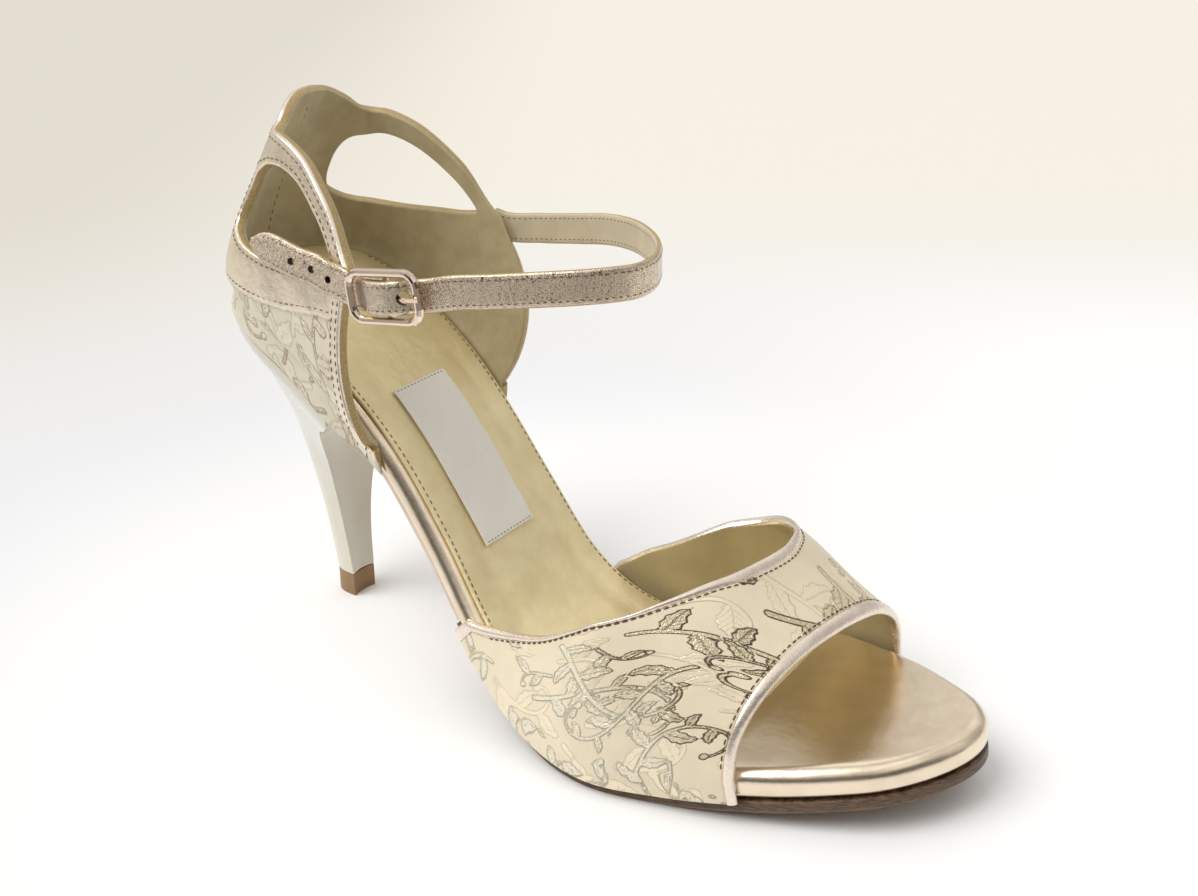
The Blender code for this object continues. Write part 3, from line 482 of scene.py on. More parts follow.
def tail_point(share):
    """The same on the strap's tail: 0 is its first point and 1 its end."""
    table = np.array(STRAP_TAIL)
    at = np.linspace(0, 1, len(table))
    around, up = [smooth(at, table[:, k])(np.asarray(share, float)) for k in (0, 1)]
    return on_quarter(around, up)


# Placing and building meshes

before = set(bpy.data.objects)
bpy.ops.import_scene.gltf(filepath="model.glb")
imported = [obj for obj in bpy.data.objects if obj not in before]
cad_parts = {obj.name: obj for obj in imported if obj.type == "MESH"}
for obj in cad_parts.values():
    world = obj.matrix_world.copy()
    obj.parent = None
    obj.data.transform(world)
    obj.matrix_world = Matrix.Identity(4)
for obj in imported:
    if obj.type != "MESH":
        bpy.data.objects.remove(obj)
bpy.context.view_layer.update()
lift_low, lift_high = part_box("top_lift")
SHIFT = np.array([lift_low.x - TIP_SET_IN, (lift_low.y + lift_high.y) / 2, 0.0])


def piece(name, points, faces, looks, face_looks=None, layers=None, angle=None, replaces=()):
    """A mesh that rides on the shoe. layers holds pairs of numbers for each point, as UV maps."""
    mesh = bpy.data.meshes.new(name)
    points = np.asarray(points, float).reshape(-1, 3) + SHIFT
    mesh.from_pydata(points.tolist(), [], [tuple(int(i) for i in face) for face in faces])
    if face_looks is not None:
        mesh.polygons.foreach_set("material_index", np.asarray(face_looks, np.int32))
    for layer, values in (layers or {}).items():
        uv = mesh.uv_layers.new(name=layer)
        corner = np.empty(len(mesh.loops), np.int32)
        mesh.loops.foreach_get("vertex_index", corner)
        uv.data.foreach_set("uv", np.asarray(values, np.float32).reshape(-1, 2)[corner].ravel())
    for look in looks:
        mesh.materials.append(look)
    work = bmesh.new()
    work.from_mesh(mesh)
    bmesh.ops.remove_doubles(work, verts=work.verts, dist=0.0000015)
    bmesh.ops.dissolve_degenerate(work, edges=work.edges, dist=0.0000015)
    bmesh.ops.recalc_face_normals(work, faces=work.faces)
    work.to_mesh(mesh)
    work.free()
    mesh.shade_smooth()
    if angle:
        mesh.set_sharp_from_angle(angle=math.radians(angle))
    made = bpy.data.objects.new(name, mesh)
    bpy.context.scene.collection.objects.link(made)
    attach(made, "root")
    if replaces:
        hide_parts(*replaces)
    return made


def grid(rows, columns, wrap=False):
    """Faces of a grid of points, by rows."""
    last = columns if wrap else columns - 1
    i, j = np.meshgrid(np.arange(rows - 1), np.arange(last), indexing="ij")
    i, j = i.ravel(), j.ravel()
    after = (j + 1) % columns
    near, far = i * columns, (i + 1) * columns
    return np.stack([near + j, far + j, far + after, near + after], -1)


def blend01(low, high, value):
    t = np.clip((value - low) / (high - low), 0, 1)
    return t * t * (3 - 2 * t)


# The embossed pattern: curling stems and leaves in millimetres on the flattened leather

VAMP_SCROLLS = [
    # u, v, heading, length, turn at the start, turn at the end (degrees per mm), width, leaf length
    (-76, 20, 30, 60, -0.6, 13, 1.7, 9.5),
    (-60, 6, 84, 62, 0.9, -14, 1.7, 10.0),
    (-36, 30, 150, 52, -0.5, 15, 1.5, 9.0),
    (-44, 10, 10, 66, 1.1, 13, 1.9, 10.5),
    (-30, 56, -70, 48, 0.8, -16, 1.4, 9.0),
    (-8, 34, 120, 54, 1.0, -14, 1.6, 9.5),
    (-14, 10, 42, 62, -0.9, 14, 1.8, 10.5),
    (14, 40, -40, 50, 1.2, 15, 1.5, 9.5),
    (12, 8, 100, 56, -0.8, -14, 1.7, 10.0),
    (32, 12, 20, 58, 1.0, 14, 1.8, 10.0),
    (38, 44, 170, 46, 0.7, -16, 1.4, 9.0),
    (58, 14, 96, 60, -0.7, -13, 1.7, 10.0),
    (72, 34, -130, 50, -0.8, 15, 1.5, 9.5),
    (-70, 60, -30, 46, 0.9, 15, 1.4, 9.0),
]

COUNTER_SCROLLS = [
    # u, v, heading, length, turn at the start, turn at the end, width, leaf length
    (-58, 2, 66, 40, 0.8, 19, 1.1, 7.5),
    (-44, 16, -40, 36, 1.2, -20, 1.1, 7.0),
    (-30, 1, 80, 38, -1.0, -19, 1.1, 7.5),
    (-12, 8, 20, 36, 1.4, 20, 1.1, 7.0),
    (12, 8, 160, 36, -1.4, -20, 1.1, 7.0),
    (30, 1, 100, 38, 1.0, 19, 1.1, 7.5),
    (44, 16, 220, 36, -1.2, 20, 1.1, 7.0),
    (58, 2, 114, 40, -0.8, -19, 1.1, 7.5),
]


def scroll_line(row):
    """Points along a stem whose bend grows towards its end, with its half-width and heading there."""
    u, v, heading, length, first, last, width = row[:7]
    s = np.arange(0, length, STEM_STEP)
    turn = np.radians(heading + first * s + (last - first) * s**3 / (3 * length**2))
    x = u + np.cumsum(np.cos(turn)) * STEM_STEP
    y = v + np.cumsum(np.sin(turn)) * STEM_STEP
    half = width / 2 * (1 - 0.45 * s / length)
    return x, y, half, turn, s


# Sprigs between the scrolls, and the pale layer under both: across, along, pitch, length, width, leaf, in mm
VAMP_SPRIGS = ((-86, 86), (1, 80), 4, 15, 1.2, 7.4)
VAMP_UNDER = ((-88, 88), (2, 80), 5, 26, 1.8, 12)
COUNTER_SPRIGS = ((-65, 65), (-6, 40), 3, 10, 0.9, 5.2)
COUNTER_UNDER = ((-65, 65), (-4, 40), 4, 16, 1.4, 8)
GOLDEN_ANGLE = 137.5      # degrees
STEM_STEP = 0.35          # mm between points of a stem
OFF_PATTERN = 9.0         # a distance in mm that is off the pattern


def with_sprigs(main, across, along, pitch, length, width, leaf):
    """Small curled sprigs set wherever the main scrolls leave room, and those scrolls after them."""
    taken = [np.stack(scroll_line(row)[:2], -1)[::5] for row in main]
    sprigs = []
    for level, v in enumerate(np.arange(along[0], along[1], pitch)):
        for u in np.arange(across[0] + pitch / 2 * (level % 2), across[1], pitch):
            for turn in range(4):
                k = len(sprigs)
                curl = 1 if (k + turn) % 2 else -1
                heading = (GOLDEN_ANGLE * k + 90 * turn) % 360
                run = length * (0.85 + 0.08 * (k % 5))
                row = (u, v, heading, run, curl, curl * (22 + 3 * (k % 3)), width, leaf)
                line = np.stack(scroll_line(row)[:2], -1)[::5]
                if all(np.hypot(*(line[:, None] - other).T).min() > leaf * 0.85 for other in taken):
                    sprigs.append(row)
                    taken.append(line)
                    break
    return sprigs + main


def leaf_shape(a, b, size, side):
    """Signed distance to a leaf that begins at 0 and ends at size along a, and distance to its veins."""
    share = np.clip(a / size, 0, 1)
    b = b - side * 0.13 * size * np.sin(np.pi * share) * share
    full = size * 0.25 * np.sin(np.pi * share**0.7) ** 0.75
    lobes = 0.055 * size * np.abs(np.sin(share * 11.5)) * (share > 0.1)
    ends = np.maximum(-a, a - size)
    shape = np.where(ends > 0, np.hypot(np.maximum(ends, 0), b), (np.abs(b) - full + lobes) * 0.85)
    ribs = np.abs((a - np.abs(b) * 1.2) % 1.7 - 0.85)
    return shape, np.where(shape < 0, np.minimum(np.abs(b), ribs + 0.1), OFF_PATTERN)


def relief(u, v, table):
    """Signed distance to the pattern, negative inside it, and distance to a leaf's veins, in millimetres."""
    nearest = np.full(u.shape, OFF_PATTERN)
    veins = np.full(u.shape, OFF_PATTERN)
    border = 0.55
    for k, row in enumerate(table):
        x, y, half, turn, s = scroll_line(row)
        leaf = row[7]
        reach = leaf + 2
        near = (u > x.min() - reach) & (u < x.max() + reach) & (v > y.min() - reach) & (v < y.max() + reach)
        if not near.any():
            continue
        pu, pv = u[near], v[near]
        best = np.full(pu.shape, OFF_PATTERN)
        vein = np.full(pu.shape, OFF_PATTERN)
        for start in range(0, len(x), 24):
            part = slice(start, start + 24)
            gap = np.hypot(pu[:, None] - x[part], pv[:, None] - y[part]) - half[part]
            best = np.minimum(best, gap.min(axis=1))
        best = np.minimum(best, np.hypot(pu - x[-1], pv - y[-1]) - row[6] * 0.75)
        for n, place in enumerate(np.arange(2.0 + 2.0 * (k % 3), row[3] * 0.74, leaf * 0.62)):
            i = int(np.searchsorted(s, place))
            side = 1 if (n + k) % 2 else -1
            lean = turn[i] + side * math.radians(50 + 8 * (n % 3))
            size = leaf * (1.0 - 0.055 * n + 0.10 * ((n * 5 + k * 3) % 4 - 1.5))
            a = (pu - x[i]) * math.cos(lean) + (pv - y[i]) * math.sin(lean) - half[i] * 0.5
            b = -(pu - x[i]) * math.sin(lean) + (pv - y[i]) * math.cos(lean)
            shape, ribs = leaf_shape(a, b, size, side)
            vein = np.minimum(vein, ribs)
            best = np.minimum(best, shape)
        on_top = best < border
        nearest[near] = np.where(on_top, best, np.minimum(nearest[near], np.maximum(best, border)))
        veins[near] = np.where(on_top, vein, veins[near])
    return nearest, veins


# Stitches: one mesh for each kind of thread, set out by geometry nodes and then made real


def stitch_bead(name, length, radius, look):
    """One stitch: a short thread that dives into the leather at both ends."""
    rings, sides = 7, 6
    points = []
    for i in range(rings):
        t = i / (rings - 1) * 2 - 1
        wide = radius * math.sqrt(max(1 - abs(t) ** 3, 0.02))
        for j in range(sides):
            turn = 2 * math.pi * j / sides
            sink = -radius * 0.9 * t * t
            points.append((t * length / 2, wide * math.cos(turn), wide * 0.8 * math.sin(turn) + sink))
    faces = grid(rings, sides, wrap=True).tolist()
    faces.append(list(range(sides)))
    faces.append([(rings - 1) * sides + j for j in reversed(range(sides))])
    mesh = bpy.data.meshes.new(name)
    mesh.from_pydata(points, [], faces)
    mesh.materials.append(look)
    mesh.shade_smooth()
    return bpy.data.objects.new(name, mesh)


def stitch_nodes(bead):
    """Geometry nodes that set the bead on each point, turned by the point's way and out vectors."""
    group = bpy.data.node_groups.new("set_out_" + bead.name, "GeometryNodeTree")
    group.interface.new_socket("Geometry", in_out="INPUT", socket_type="NodeSocketGeometry")
    group.interface.new_socket("Geometry", in_out="OUTPUT", socket_type="NodeSocketGeometry")
    nodes, links = group.nodes, group.links
    start = nodes.new("NodeGroupInput")
    end = nodes.new("NodeGroupOutput")
    source = nodes.new("GeometryNodeObjectInfo")
    source.inputs["Object"].default_value = bead
    set_out = nodes.new("GeometryNodeInstanceOnPoints")
    turning = nodes.new("FunctionNodeAxesToRotation")
    turning.primary_axis = "X"
    turning.secondary_axis = "Z"
    real = nodes.new("GeometryNodeRealizeInstances")
    for label, socket in (("way", "Primary Axis"), ("out", "Secondary Axis")):
        named = nodes.new("GeometryNodeInputNamedAttribute")
        named.data_type = "FLOAT_VECTOR"
        named.inputs["Name"].default_value = label
        links.new(named.outputs["Attribute"], turning.inputs[socket])
    links.new(start.outputs[0], set_out.inputs["Points"])
    links.new(source.outputs["Geometry"], set_out.inputs["Instance"])
    links.new(turning.outputs[0], set_out.inputs["Rotation"])
    links.new(set_out.outputs[0], real.inputs[0])
    links.new(real.outputs[0], end.inputs[0])
    return group


def stitch_rows(name, rows, pitch, length, radius, look):
    """Stitches along rows of points, each row given with the way out of the surface at each point."""
    places, ways, outs = [], [], []
    for line, out in rows:
        line = np.asarray(line, float)
        travelled = np.concatenate([[0], np.cumsum(np.linalg.norm(np.diff(line, axis=0), axis=1))])
        count = max(int(travelled[-1] / pitch), 1)
        at = (np.arange(count) + 0.5) * travelled[-1] / count
        spot = np.stack([np.interp(at, travelled, line[:, k]) for k in range(3)], -1)
        ahead = np.stack([np.interp(at + pitch * 0.2, travelled, line[:, k]) for k in range(3)], -1)
        behind = np.stack([np.interp(at - pitch * 0.2, travelled, line[:, k]) for k in range(3)], -1)
        turned = np.stack([np.interp(at, travelled, np.asarray(out)[:, k]) for k in range(3)], -1)
        places.append(spot + SHIFT)
        ways.append(unit(ahead - behind))
        outs.append(unit(turned))
    places, ways, outs = [np.concatenate(values) for values in (places, ways, outs)]
    mesh = bpy.data.meshes.new(name)
    mesh.from_pydata(places.tolist(), [], [])
    for label, values in (("way", ways), ("out", outs)):
        attribute = mesh.attributes.new(label, "FLOAT_VECTOR", "POINT")
        attribute.data.foreach_set("vector", values.astype(np.float32).ravel())
    holder = bpy.data.objects.new(name + "_points", mesh)
    bpy.context.scene.collection.objects.link(holder)
    bead = stitch_bead(name + "_bead", length, radius, look)
    modifier = holder.modifiers.new("set out", "NODES")
    modifier.node_group = stitch_nodes(bead)
    bpy.context.view_layer.update()
    graph = bpy.context.evaluated_depsgraph_get()
    real = bpy.data.meshes.new_from_object(holder.evaluated_get(graph))
    real.name = name
    for attribute in list(real.attributes):
        if attribute.name in ("way", "out"):
            real.attributes.remove(attribute)
    made = bpy.data.objects.new(name, real)
    bpy.context.scene.collection.objects.link(made)
    bpy.data.objects.remove(holder)
    bpy.data.objects.remove(bead)
    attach(made, "root")
    return made


# Materials


def new_material(name):
    material = bpy.data.materials.new(name)
    material.use_nodes = True
    tree = material.node_tree
    return material, Graph(tree), tree.nodes["Principled BSDF"].inputs


class Graph:
    """Short calls for building a node tree."""

    def __init__(self, tree):
        self.tree = tree

    def node(self, kind, **settings):
        made = self.tree.nodes.new(kind)
        for key, value in settings.items():
            setattr(made, key, value)
        return made

    def wire(self, value, socket):
        if hasattr(value, "links"):
            self.tree.links.new(value, socket)
        elif value is not None:
            socket.default_value = value

    def math(self, operation, first, second=None, third=None, clamp=False):
        made = self.node("ShaderNodeMath", operation=operation, use_clamp=clamp)
        for socket, value in zip(made.inputs, (first, second, third)):
            self.wire(value, socket)
        return made.outputs[0]

    def times(self, first, second):
        return self.math("MULTIPLY", first, second)

    def plus(self, first, second):
        return self.math("ADD", first, second)

    def minus(self, first, second):
        return self.math("SUBTRACT", first, second)

    def most(self, first, second):
        return self.math("MAXIMUM", first, second)

    def ramp(self, value, low, high, to_low=0.0, to_high=1.0):
        made = self.node("ShaderNodeMapRange", interpolation_type="SMOOTHSTEP")
        for socket, number in zip(made.inputs, (value, low, high, to_low, to_high)):
            self.wire(number, socket)
        return made.outputs[0]

    def mix(self, factor, first, second):
        made = self.node("ShaderNodeMix", data_type="RGBA")
        self.wire(factor, made.inputs["Factor"])
        for value, socket in ((first, made.inputs["A"]), (second, made.inputs["B"])):
            self.wire((*value, 1) if isinstance(value, tuple) and len(value) == 3 else value, socket)
        return made.outputs["Result"]

    def mix_value(self, factor, first, second):
        made = self.node("ShaderNodeMix", data_type="FLOAT")
        for value, label in ((factor, "Factor"), (first, "A"), (second, "B")):
            self.wire(value, made.inputs[label])
        return made.outputs["Result"]

    def place(self, scale=1.0, stretch=(1, 1, 1)):
        """Object coordinates in millimetres."""
        where = self.node("ShaderNodeTexCoord")
        mapping = self.node("ShaderNodeMapping")
        self.tree.links.new(where.outputs["Object"], mapping.inputs["Vector"])
        mapping.inputs["Scale"].default_value = [1000 * scale * value for value in stretch]
        return mapping.outputs[0]

    def uv(self, layer):
        made = self.node("ShaderNodeUVMap", uv_map=layer)
        apart = self.node("ShaderNodeSeparateXYZ")
        self.tree.links.new(made.outputs[0], apart.inputs[0])
        return apart.outputs[0], apart.outputs[1]

    def noise(self, vector, scale, detail=3.0, rough=0.5, distortion=0.0):
        made = self.node("ShaderNodeTexNoise")
        self.tree.links.new(vector, made.inputs["Vector"])
        made.inputs["Scale"].default_value = scale
        made.inputs["Detail"].default_value = detail
        made.inputs["Roughness"].default_value = rough
        made.inputs["Distortion"].default_value = distortion
        return made.outputs[0]

    def cells(self, vector, scale, feature="F1"):
        made = self.node("ShaderNodeTexVoronoi", feature=feature)
        self.tree.links.new(vector, made.inputs["Vector"])
        made.inputs["Scale"].default_value = scale
        return made.outputs["Distance"]

    def bump(self, height, distance, strength=1.0, before=None):
        made = self.node("ShaderNodeBump")
        self.wire(height, made.inputs["Height"])
        made.inputs["Distance"].default_value = distance
        made.inputs["Strength"].default_value = strength
        self.wire(before, made.inputs["Normal"])
        return made.outputs[0]


def grain_group():
    """Shared leather grain: a fine pebble with soft wrinkles, over places in millimetres."""
    group = bpy.data.node_groups.new("leather_grain", "ShaderNodeTree")
    group.interface.new_socket("Vector", in_out="INPUT", socket_type="NodeSocketVector")
    group.interface.new_socket("Height", in_out="OUTPUT", socket_type="NodeSocketFloat")
    group.interface.new_socket("Mottle", in_out="OUTPUT", socket_type="NodeSocketFloat")
    g = Graph(group)
    start, end = g.node("NodeGroupInput"), g.node("NodeGroupOutput")
    vector = start.outputs[0]
    pebble = g.ramp(g.cells(vector, 1.9, "DISTANCE_TO_EDGE"), 0.0, 0.22)
    folds = g.noise(vector, 0.55, 4, 0.6, 0.4)
    height = g.plus(g.times(pebble, 0.55), g.times(folds, 0.45))
    g.wire(height, end.inputs[0])
    g.wire(g.noise(vector, 0.11, 3, 0.55), end.inputs[1])
    return group


GRAIN = grain_group()


def with_grain(g, scale=1.0):
    made = g.node("ShaderNodeGroup", node_tree=GRAIN)
    g.wire(g.place(scale), made.inputs[0])
    return made.outputs[0], made.outputs[1]


def leather(name, colour, second, roughness, metallic=0.0, grain=0.05, coat=0.0, grain_scale=1.0, sheen=0.0):
    """Plain leather: two colours mottled together, with grain."""
    material, g, shader = new_material(name)
    height, mottle = with_grain(g, grain_scale)
    g.wire(g.mix(g.ramp(mottle, 0.3, 0.7), colour, second), shader["Base Color"])
    g.wire(g.plus(g.times(mottle, 0.16), roughness - 0.08), shader["Roughness"])
    g.wire(metallic, shader["Metallic"])
    g.wire(coat, shader["Coat Weight"])
    g.wire(0.2, shader["Coat Roughness"])
    g.wire(sheen, shader["Sheen Weight"])
    g.wire(g.bump(height, grain / 1000), shader["Normal"])
    return material


def crackle(name, colour, dark, roughness, depth, scale):
    """Metallic foil leather whose film has broken into fine crackle, more open in some places."""
    material, g, shader = new_material(name)
    where = g.place()
    warp = g.noise(where, 0.5, 3, 0.5)
    cracks = g.ramp(g.cells(where, scale, "DISTANCE_TO_EDGE"), 0.0, 0.13)
    fine = g.ramp(g.cells(where, scale * 2.3, "DISTANCE_TO_EDGE"), 0.0, 0.16)
    both = g.times(cracks, g.plus(g.times(fine, 0.5), 0.5))
    worn = g.ramp(warp, 0.25, 0.75, 0.75, 1.0)
    strength = g.mix_value(worn, 1.0, both)
    g.wire(g.mix(strength, dark, colour), shader["Base Color"])
    g.wire(1.0, shader["Metallic"])
    g.wire(g.plus(g.times(warp, 0.18), roughness - 0.09), shader["Roughness"])
    g.wire(g.bump(strength, depth / 1000), shader["Normal"])
    return material


def zone(g, u, low, high, wander):
    """0 to 1 across the leather, with an uneven border."""
    return g.ramp(g.plus(u, g.times(g.minus(wander, 0.5), 60.0)), low, high)


def embossed(name, ground, motifs, lines, borders):
    """Cream leather with the scroll pattern pressed in: metallic inside, with a stippled outline.

    motifs and lines hold three colours each, for the fields before, between and after the two borders.
    """
    material, g, shader = new_material(name)
    height, mottle = with_grain(g)
    distance, vein = g.uv("relief")
    under, under_vein = g.uv("under")
    u, v = g.uv("place")
    where = g.place()
    wander = g.noise(where, 0.05, 2, 0.5)
    second = zone(g, u, borders[0] - 8, borders[0] + 8, wander)
    third = zone(g, u, borders[1] - 8, borders[1] + 8, wander)
    motif = g.mix(third, g.mix(second, motifs[0], motifs[1]), motifs[2])
    line = g.mix(third, g.mix(second, lines[0], lines[1]), lines[2])
    specks = g.ramp(g.cells(where, 2.1), 0.15, 0.42)
    glitter = g.ramp(g.noise(where, 2.6, 2, 0.6), 0.42, 0.60)
    inside = g.ramp(distance, 0.08, -0.08)
    near_edge = g.ramp(g.math("ABSOLUTE", distance), 0.30, 0.12)
    outline = g.times(near_edge, g.mix_value(specks, 0.35, 1.0))
    veins = g.times(g.ramp(vein, 0.30, 0.10), inside)
    drawn = g.most(outline, g.times(veins, 0.75))
    tint = g.mix(g.ramp(mottle, 0.35, 0.65), ground, tuple(value * 0.95 for value in ground))
    glint = tuple(min(value * 1.25, 0.9) for value in motifs[2])
    bright = g.mix(g.times(glitter, 0.45), motif, glint)
    pale = g.ramp(under, 0.10, -0.10)
    tint = g.mix(g.times(pale, 0.75), tint, tuple(value * 1.13 for value in ground))
    faint = g.most(g.ramp(g.math("ABSOLUTE", under), 0.26, 0.10), g.ramp(under_vein, 0.26, 0.10))
    tint = g.mix(g.times(faint, g.mix_value(specks, 0.1, 0.5)), tint, lines[0])
    tint = g.mix(g.times(inside, 0.92), tint, bright)
    g.wire(g.mix(drawn, tint, line), shader["Base Color"])
    shine = g.times(inside, g.mix_value(second, 0.30, 0.60))
    g.wire(g.most(shine, g.times(pale, 0.40)), shader["Metallic"])
    flat = g.mix_value(pale, 0.44, 0.34)
    g.wire(g.mix_value(inside, flat, g.mix_value(glitter, 0.42, 0.26)), shader["Roughness"])
    dots = g.ramp(g.noise(where, 2.2, 2, 0.5), 0.35, 0.65)
    stipple = g.times(g.times(dots, 0.5), inside)
    raised = g.plus(g.ramp(distance, 0.30, -0.30), stipple)
    raised = g.plus(raised, g.times(g.minus(pale, faint), 0.35))
    raised = g.minus(raised, g.times(g.most(outline, veins), 0.7))
    pressed = g.bump(raised, 0.00018)
    g.wire(g.bump(height, 0.00003, before=pressed), shader["Normal"])
    g.wire(0.22, shader["Coat Weight"])
    g.wire(0.32, shader["Coat Roughness"])
    return material

# The vamp


def vamp_look_rows():
    """Distances from the rear edge, and outward places, of the loop round the vamp's wall at one section."""
    tall = (VAMP_WALL + BINDING_STEP) / 2
    turn = np.radians(np.linspace(-80, 80, 9))
    nose = np.stack([tall * (1 - np.cos(turn)), tall + tall * np.sin(turn)], -1)
    share = np.linspace(0.12, 1, 8)
    roll = np.stack([tall + (BINDING_WIDTH - tall) * share,
                     VAMP_WALL - 0.0002 + (BINDING_STEP + 0.0002) * np.sqrt(1 - share**2.2)], -1)
    return nose, roll


def make_vamp_look():
    angles = np.concatenate([[-20, -14, -7], np.linspace(0, 180, 330), [187, 194, 200]])
    nose, roll = vamp_look_rows()
    inner_count, field_count = 22, 150
    rows, ups, distances = [], [], []
    for around in angles:
        over = float(np.clip(around, 0, 180))
        x0, x1 = FOOT_RUN * float(vamp_rear(over)), FOOT_RUN * float(vamp_front(over))
        steps = np.linspace(x0, x1, 24)
        length = np.sum(np.hypot(np.diff(steps), np.diff(bed_height(steps))))
        length = max(length, 4 * BINDING_WIDTH)
        field = np.linspace(BINDING_WIDTH + 0.0002, length - BINDING_WIDTH - 0.0002, field_count)
        inner = np.linspace(length - BINDING_WIDTH, BINDING_WIDTH, inner_count)
        front = np.stack([length - np.concatenate([roll[::-1, 0], nose[::-1, 0]]),
                          np.concatenate([roll[::-1, 1], nose[::-1, 1]])], -1)
        loop = np.concatenate([nose, roll, np.stack([field, 0 * field + VAMP_WALL], -1), front,
                               np.stack([inner, 0 * inner], -1)])
        rows.append(vamp_point(around, loop[:, 0] / length, loop[:, 1]))
        distances.append(loop[:, 0])
        ups.append(loop[:, 1])
    points = np.array(rows)
    distances = np.array(distances)
    columns = points.shape[1]
    lengths = np.linalg.norm(np.diff(points, axis=0), axis=2)
    across = np.concatenate([np.zeros((1, columns)), np.cumsum(lengths, axis=0)])
    across = across - across[len(angles) // 2]
    u, v = across * 1000, distances * 1000
    outer = (np.arange(columns) > 8) & (np.arange(columns) < columns - inner_count - 9)
    vamp_pattern = with_sprigs(VAMP_SCROLLS, *VAMP_SPRIGS)
    patterns = {}
    for layer, table in (("relief", vamp_pattern), ("under", with_sprigs([], *VAMP_UNDER))):
        pair = np.full((2, *u.shape), OFF_PATTERN)
        pair[:, :, outer] = relief(u[:, outer], v[:, outer], table)
        patterns[layer] = np.moveaxis(pair, 0, -1)
    faces = grid(len(angles), columns, wrap=True)
    column = faces[:, 0] % columns
    band = len(nose) + len(roll)
    looks = np.zeros(len(faces), int)
    looks[(column < band - 1) | ((column >= band + field_count) & (column < columns - inner_count))] = 1
    looks[column >= columns - inner_count] = 2
    ends = [list(range(columns)), [(len(angles) - 1) * columns + j for j in range(columns)]]
    faces = faces.tolist() + ends
    looks = np.concatenate([looks, [2, 2]])
    piece("vamp_leather", points, faces, [LOOK["embossed_vamp"], LOOK["binding"], LOOK["lining"]], looks,
          {**patterns, "place": np.stack([u, v], -1)},
          replaces=["vamp"], angle=50)
    rows = []
    for edge_side in (0, 1):
        spread = np.linspace(4, 176, 260)
        line, out = [], []
        for around in spread:
            x0, x1 = FOOT_RUN * float(vamp_rear(around)), FOOT_RUN * float(vamp_front(around))
            steps = np.linspace(x0, x1, 24)
            length = np.sum(np.hypot(np.diff(steps), np.diff(bed_height(steps))))
            share = (BINDING_WIDTH + VAMP_STITCH_IN) / max(length, 4 * BINDING_WIDTH)
            share = share if edge_side == 0 else 1 - share
            line.append(vamp_point(around, share, VAMP_WALL + 0.00005))
            out.append(vamp_point(around, share, VAMP_WALL + 0.002) - line[-1])
        rows.append((line, out))
    stitch_rows("vamp_stitches", rows, 0.0019, 0.00165, 0.00021, LOOK["brown_thread"])


# The quarter


def mm_of(around, up):
    """Flattened millimetres of a place on the quarter."""
    around, up = np.asarray(around), np.asarray(up)
    return np.stack([around * QUARTER_ARC, up * 1000 * np.where(up < 0, SHANK_STACK, QUARTER_HEIGHT)], -1)


def place_of(flat):
    """The place on the quarter of a point in flattened millimetres."""
    y = flat[:, 1]
    return flat[:, 0] / QUARTER_ARC, y / 1000 / np.where(y < 0, SHANK_STACK, QUARTER_HEIGHT)


def closed_curve(points, count):
    """A smooth closed curve through the points, evenly cut."""
    points = np.asarray(points, float)
    total = len(points)
    place = np.arange(-3, total + 4)
    fine = np.linspace(0, total, 1200)
    line = np.stack([smooth(place, points[place % total, k])(fine) for k in (0, 1)], -1)
    travelled = np.concatenate([[0], np.cumsum(np.hypot(*np.diff(line, axis=0).T))])
    at = np.linspace(0, travelled[-1], count, endpoint=False)
    return np.stack([np.interp(at, travelled, line[:, k]) for k in (0, 1)], -1)


def offset_curve(line, by, closed=True):
    """The line moved sideways, to its left, in its plane."""
    if closed:
        along = np.roll(line, -1, axis=0) - np.roll(line, 1, axis=0)
    else:
        along = np.gradient(line, axis=0)
    along = unit(along)
    return line + by * np.stack([-along[:, 1], along[:, 0]], -1)


def inside_of(points, loop):
    """Which points lie inside a closed loop."""
    x, y = points[:, 0], points[:, 1]
    hit = np.zeros(len(points), bool)
    for (x1, y1), (x2, y2) in zip(loop, np.roll(loop, -1, axis=0)):
        crosses = (y1 > y) != (y2 > y)
        if crosses.any():
            hit ^= crosses & (x < (x2 - x1) * (y - y1) / (y2 - y1 if y2 != y1 else 1e-12) + x1)
    return hit


def distance_to(points, line, closed=True):
    """Distance of each point to a line of points."""
    ends = np.roll(line, -1, axis=0) if closed else line[1:]
    starts = line if closed else line[:-1]
    best = np.full(len(points), 99.0)
    for k in range(0, len(starts), 60):
        a, b = starts[k:k + 60], ends[k:k + 60]
        along = b - a
        t = ((points[:, None] - a) * along).sum(-1) / np.maximum((along**2).sum(-1), 1e-12)
        near = a + np.clip(t, 0, 1)[..., None] * along
        best = np.minimum(best, np.linalg.norm(points[:, None] - near, axis=-1).min(axis=1))
    return best


def cutout_loop(side):
    table = np.array(CUTOUT)
    return closed_curve(mm_of(side * (table[:, 0] - CUTOUT_SHIFT * side), table[:, 1]), 230)


def quarter_outline():
    """The quarter's edge in flattened millimetres: bottom, inner front, top, outer front."""
    wide = np.linspace(-1, 1, 260)
    tall = np.linspace(-float(skirt_reach(1.0)), 1.0, 104)
    parts = [np.stack([wide, -skirt_reach(np.abs(wide))], -1), np.stack([0 * tall + 1, tall], -1)[1:],
             np.stack([wide[::-1], 0 * wide + 1], -1)[1:], np.stack([0 * tall - 1, tall[::-1]], -1)[1:-1]]
    loop = np.concatenate(parts)
    return mm_of(loop[:, 0], loop[:, 1])


